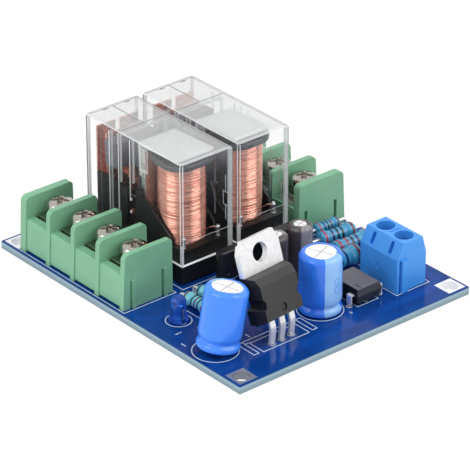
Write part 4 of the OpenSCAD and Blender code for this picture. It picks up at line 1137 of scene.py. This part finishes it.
def add_capacitor(name, radius, height, matrix, looks, slot, nodes, stripe, creases, frill=0.0):
    """Sleeve with a paler stripe, and the can's scored top. stripe is (start, stop) in degrees.

    creases deepen the folds round the lower lip; frill puckers the sleeve's upper edge.
    """
    draw = random.Random(name)
    wobble = [draw.uniform(0, 2 * math.pi) for _ in range(5)]
    outer = sleeve_profile(radius, height)
    inner = [(max(r - SLEEVE_T, 0.1), z) for r, z in outer[1:-1]]
    verts, faces = lathe_parts(outer + inner[::-1], CAN_SIDES, None, True)
    shaped = []
    for v in verts:
        a = math.atan2(v.y, v.x)
        foot = clamp(1 - abs(v.z - 1.6) / 1.5)
        pull = foot * creases * (math.sin(5 * a + wobble[0]) + 0.6 * math.sin(9 * a + wobble[1]))
        crown = clamp((v.z - height + 1.0) / 0.6)
        pull += crown * frill * (math.sin(19 * a + wobble[3]) + 0.7 * math.sin(31 * a + wobble[4]))
        lift = max(0.0, v.z - height + 0.25) * 0.3 * math.sin(3 * a + wobble[2])
        shaped.append(Vector((v.x, v.y, 0)) * (1 + pull / radius) + Vector((0, 0, v.z + lift)))
    indices = []
    for face in faces:
        middle = sum((shaped[i] for i in face), Vector()) / len(face)
        turn = math.degrees(math.atan2(middle.y, middle.x)) % 360
        indices.append(int((turn - stripe[0]) % 360 < stripe[1] - stripe[0]))
    wrap = Shape()
    wrap.add([matrix @ v for v in shaped], faces, indices)
    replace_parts(wrap.make(name + "_wrap", looks, slot, angle=50), nodes[0])

    can = Shape()
    top, reach = height - 0.1, radius - 0.7
    profile = [(0, 0.3), (radius - 0.9, 0.3), (radius - 0.5, 0.6)] + neck_points(radius, CAN_WALL)
    profile += [(radius - CAN_WALL, height - 1.3), (radius - 0.5, height - 0.5), (reach, top - 0.02)]
    can.add(*lathe_parts(profile + [(reach - 0.1, top)], CAN_SIDES, matrix))
    verts = []
    for i in range(TOP_RINGS + 1):
        r = (reach - 0.1) * (1 - i / TOP_RINGS)
        for a in turns_of(CAN_SIDES):
            x, y = r * math.cos(a), r * math.sin(a)
            dip = clamp(1 - off_score(x, y) / SCORE_HALF) * SCORE_DEPTH if r < reach * 0.8 else 0.0
            dome = 0.05 * (1 - (r / reach) ** 2)
            verts.append(Vector((x, y, top - dip + dome)))
    faces = skin(TOP_RINGS + 1, CAN_SIDES)
    indices = []
    for face in faces:
        middle = sum((verts[i] for i in face), Vector()) / 4
        # Faces in the scored cross take the darker grey: painted shade in the grooves
        scored = off_score(middle.x, middle.y) < SCORE_SHOWN and middle.xy.length < reach * 0.78
        indices.append(2 if scored else 1)
    can.add([matrix @ v for v in verts], faces, indices)
    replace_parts(can.make(name + "_shell", [can_metal, can_top, can_score_painted_shade], "can", angle=40), nodes[1])


def stripe_marks(name, radius, matrix, middle, level):
    """A minus sign in a round-ended outline on the stripe."""
    shape = Shape()
    outline = arc(0, 1.0, 0.55, 0, 180, 8) + arc(0, -1.0, 0.55, 180, 360, 8)
    for points, closed, width in ((outline, True, 0.16), ([(0, -0.6), (0, 0.6)], False, 0.2)):
        verts, faces = ribbon_parts(points, width, 0.0, 0.03, closed)
        bent = []
        for v in verts:
            a, r = math.radians(middle) + v[0] / radius, radius + v[2]
            bent.append(matrix @ Vector((r * math.cos(a), r * math.sin(a), level + v[1])))
        shape.add(bent, faces)
    shape.make(name, mark_blue, "blue_sleeve")


leaning = move(*LEANING, LEANING_BASE) @ spin(LEAN_HEADING) @ spin(CAP_LEAN, "Y") @ spin(-LEAN_HEADING)
upright = move(*UPRIGHT, CAN_BASE)
for name, place, look, stripe, creases in (("leaning_capacitor", leaning, blue_sleeve, (60, 123), 0.07),
                                           ("upright_capacitor", upright, deep_sleeve_and_shade, (-121, -58), 0.03)):
    add_capacitor(name, LARGE_RADIUS, LARGE_HEIGHT, place, [look, pale_sleeve], "blue_sleeve",
                  (name + "_sleeve", name + "_can"), stripe, creases)
stripe_marks("upright_capacitor_marks", LARGE_RADIUS, upright, -84, MARK_LEVEL)
stripe_marks("leaning_capacitor_marks", LARGE_RADIUS, leaning, 92, MARK_LEVEL)
for (x, y), letter, stripe in zip(SMALL, "ab", ((-125, -60), (-40, 30))):
    add_capacitor("small_capacitor_" + letter, SMALL_RADIUS, SMALL_HEIGHT, move(x, y, CAN_BASE),
                  [dark_sleeve, grey_sleeve], "dark_sleeve",
                  ("small_capacitor_sleeves", "small_capacitor_cans"), stripe, 0.02, 0.035)
dress("capacitor_leads", tin)

# Resistors

BAND_PLACES = (-0.78, -0.36, -0.08, 0.2, 0.78)


def add_bands():
    """Painted rings follow each body's bulged ends and narrower waist."""
    order = list(BANDS)
    shape = Shape()
    for (x, y, z), length, width, pitch, turn, names in RESISTORS:
        place = move(x, y, z) @ spin(turn) @ spin(90, "Y")
        for share, name in zip(BAND_PLACES, names.split()):
            middle, w = share * length / 2, length * 0.026
            r = width / 2 if abs(share) > 0.6 else width / 2 * 0.86
            inside, outside = r - 0.05, r + 0.02
            ring = [(inside, middle - w), (outside, middle - w), (outside, middle + w), (inside, middle + w)]
            verts, faces = lathe_parts(ring, 48, place, True)
            shape.add(verts, faces, order.index(name))
    shape.make("resistor_bands", list(BANDS.values()), "resistor_blue", angle=60)


dress("small_resistors", small_resistor_blue)
dress("power_resistors", resistor_blue)
dress("resistor_leads", leg_metal)
add_bands()

# Indicator lamp


def add_lamp_inside():
    """The small cup that holds the chip, on top of one post, and the flag of the other post."""
    x, y = LAMP_MID.x, LAMP_MID.y
    cup = [(0, 2.7), (0.34, 2.7), (0.5, 3.35), (0.42, 3.35), (0.28, 3.0), (0, 3.0)]
    shape = Shape()
    shape.add(*lathe_parts(cup, 32, move(x, y - 0.35)))
    shape.add(*box_parts((x - 0.25, y - 1.1, 2.3), (x + 0.25, y - 0.2, 2.8)))
    shape.add(*box_parts((x - 0.2, y + 0.45, 2.4), (x + 0.2, y + 1.2, 3.0)))
    shape.make("indicator_cup", tin, "tinned_metal")


dress("indicator_lens", lens)
dress("indicator_leads", tin)
add_lamp_inside()

bpy.context.view_layer.update()
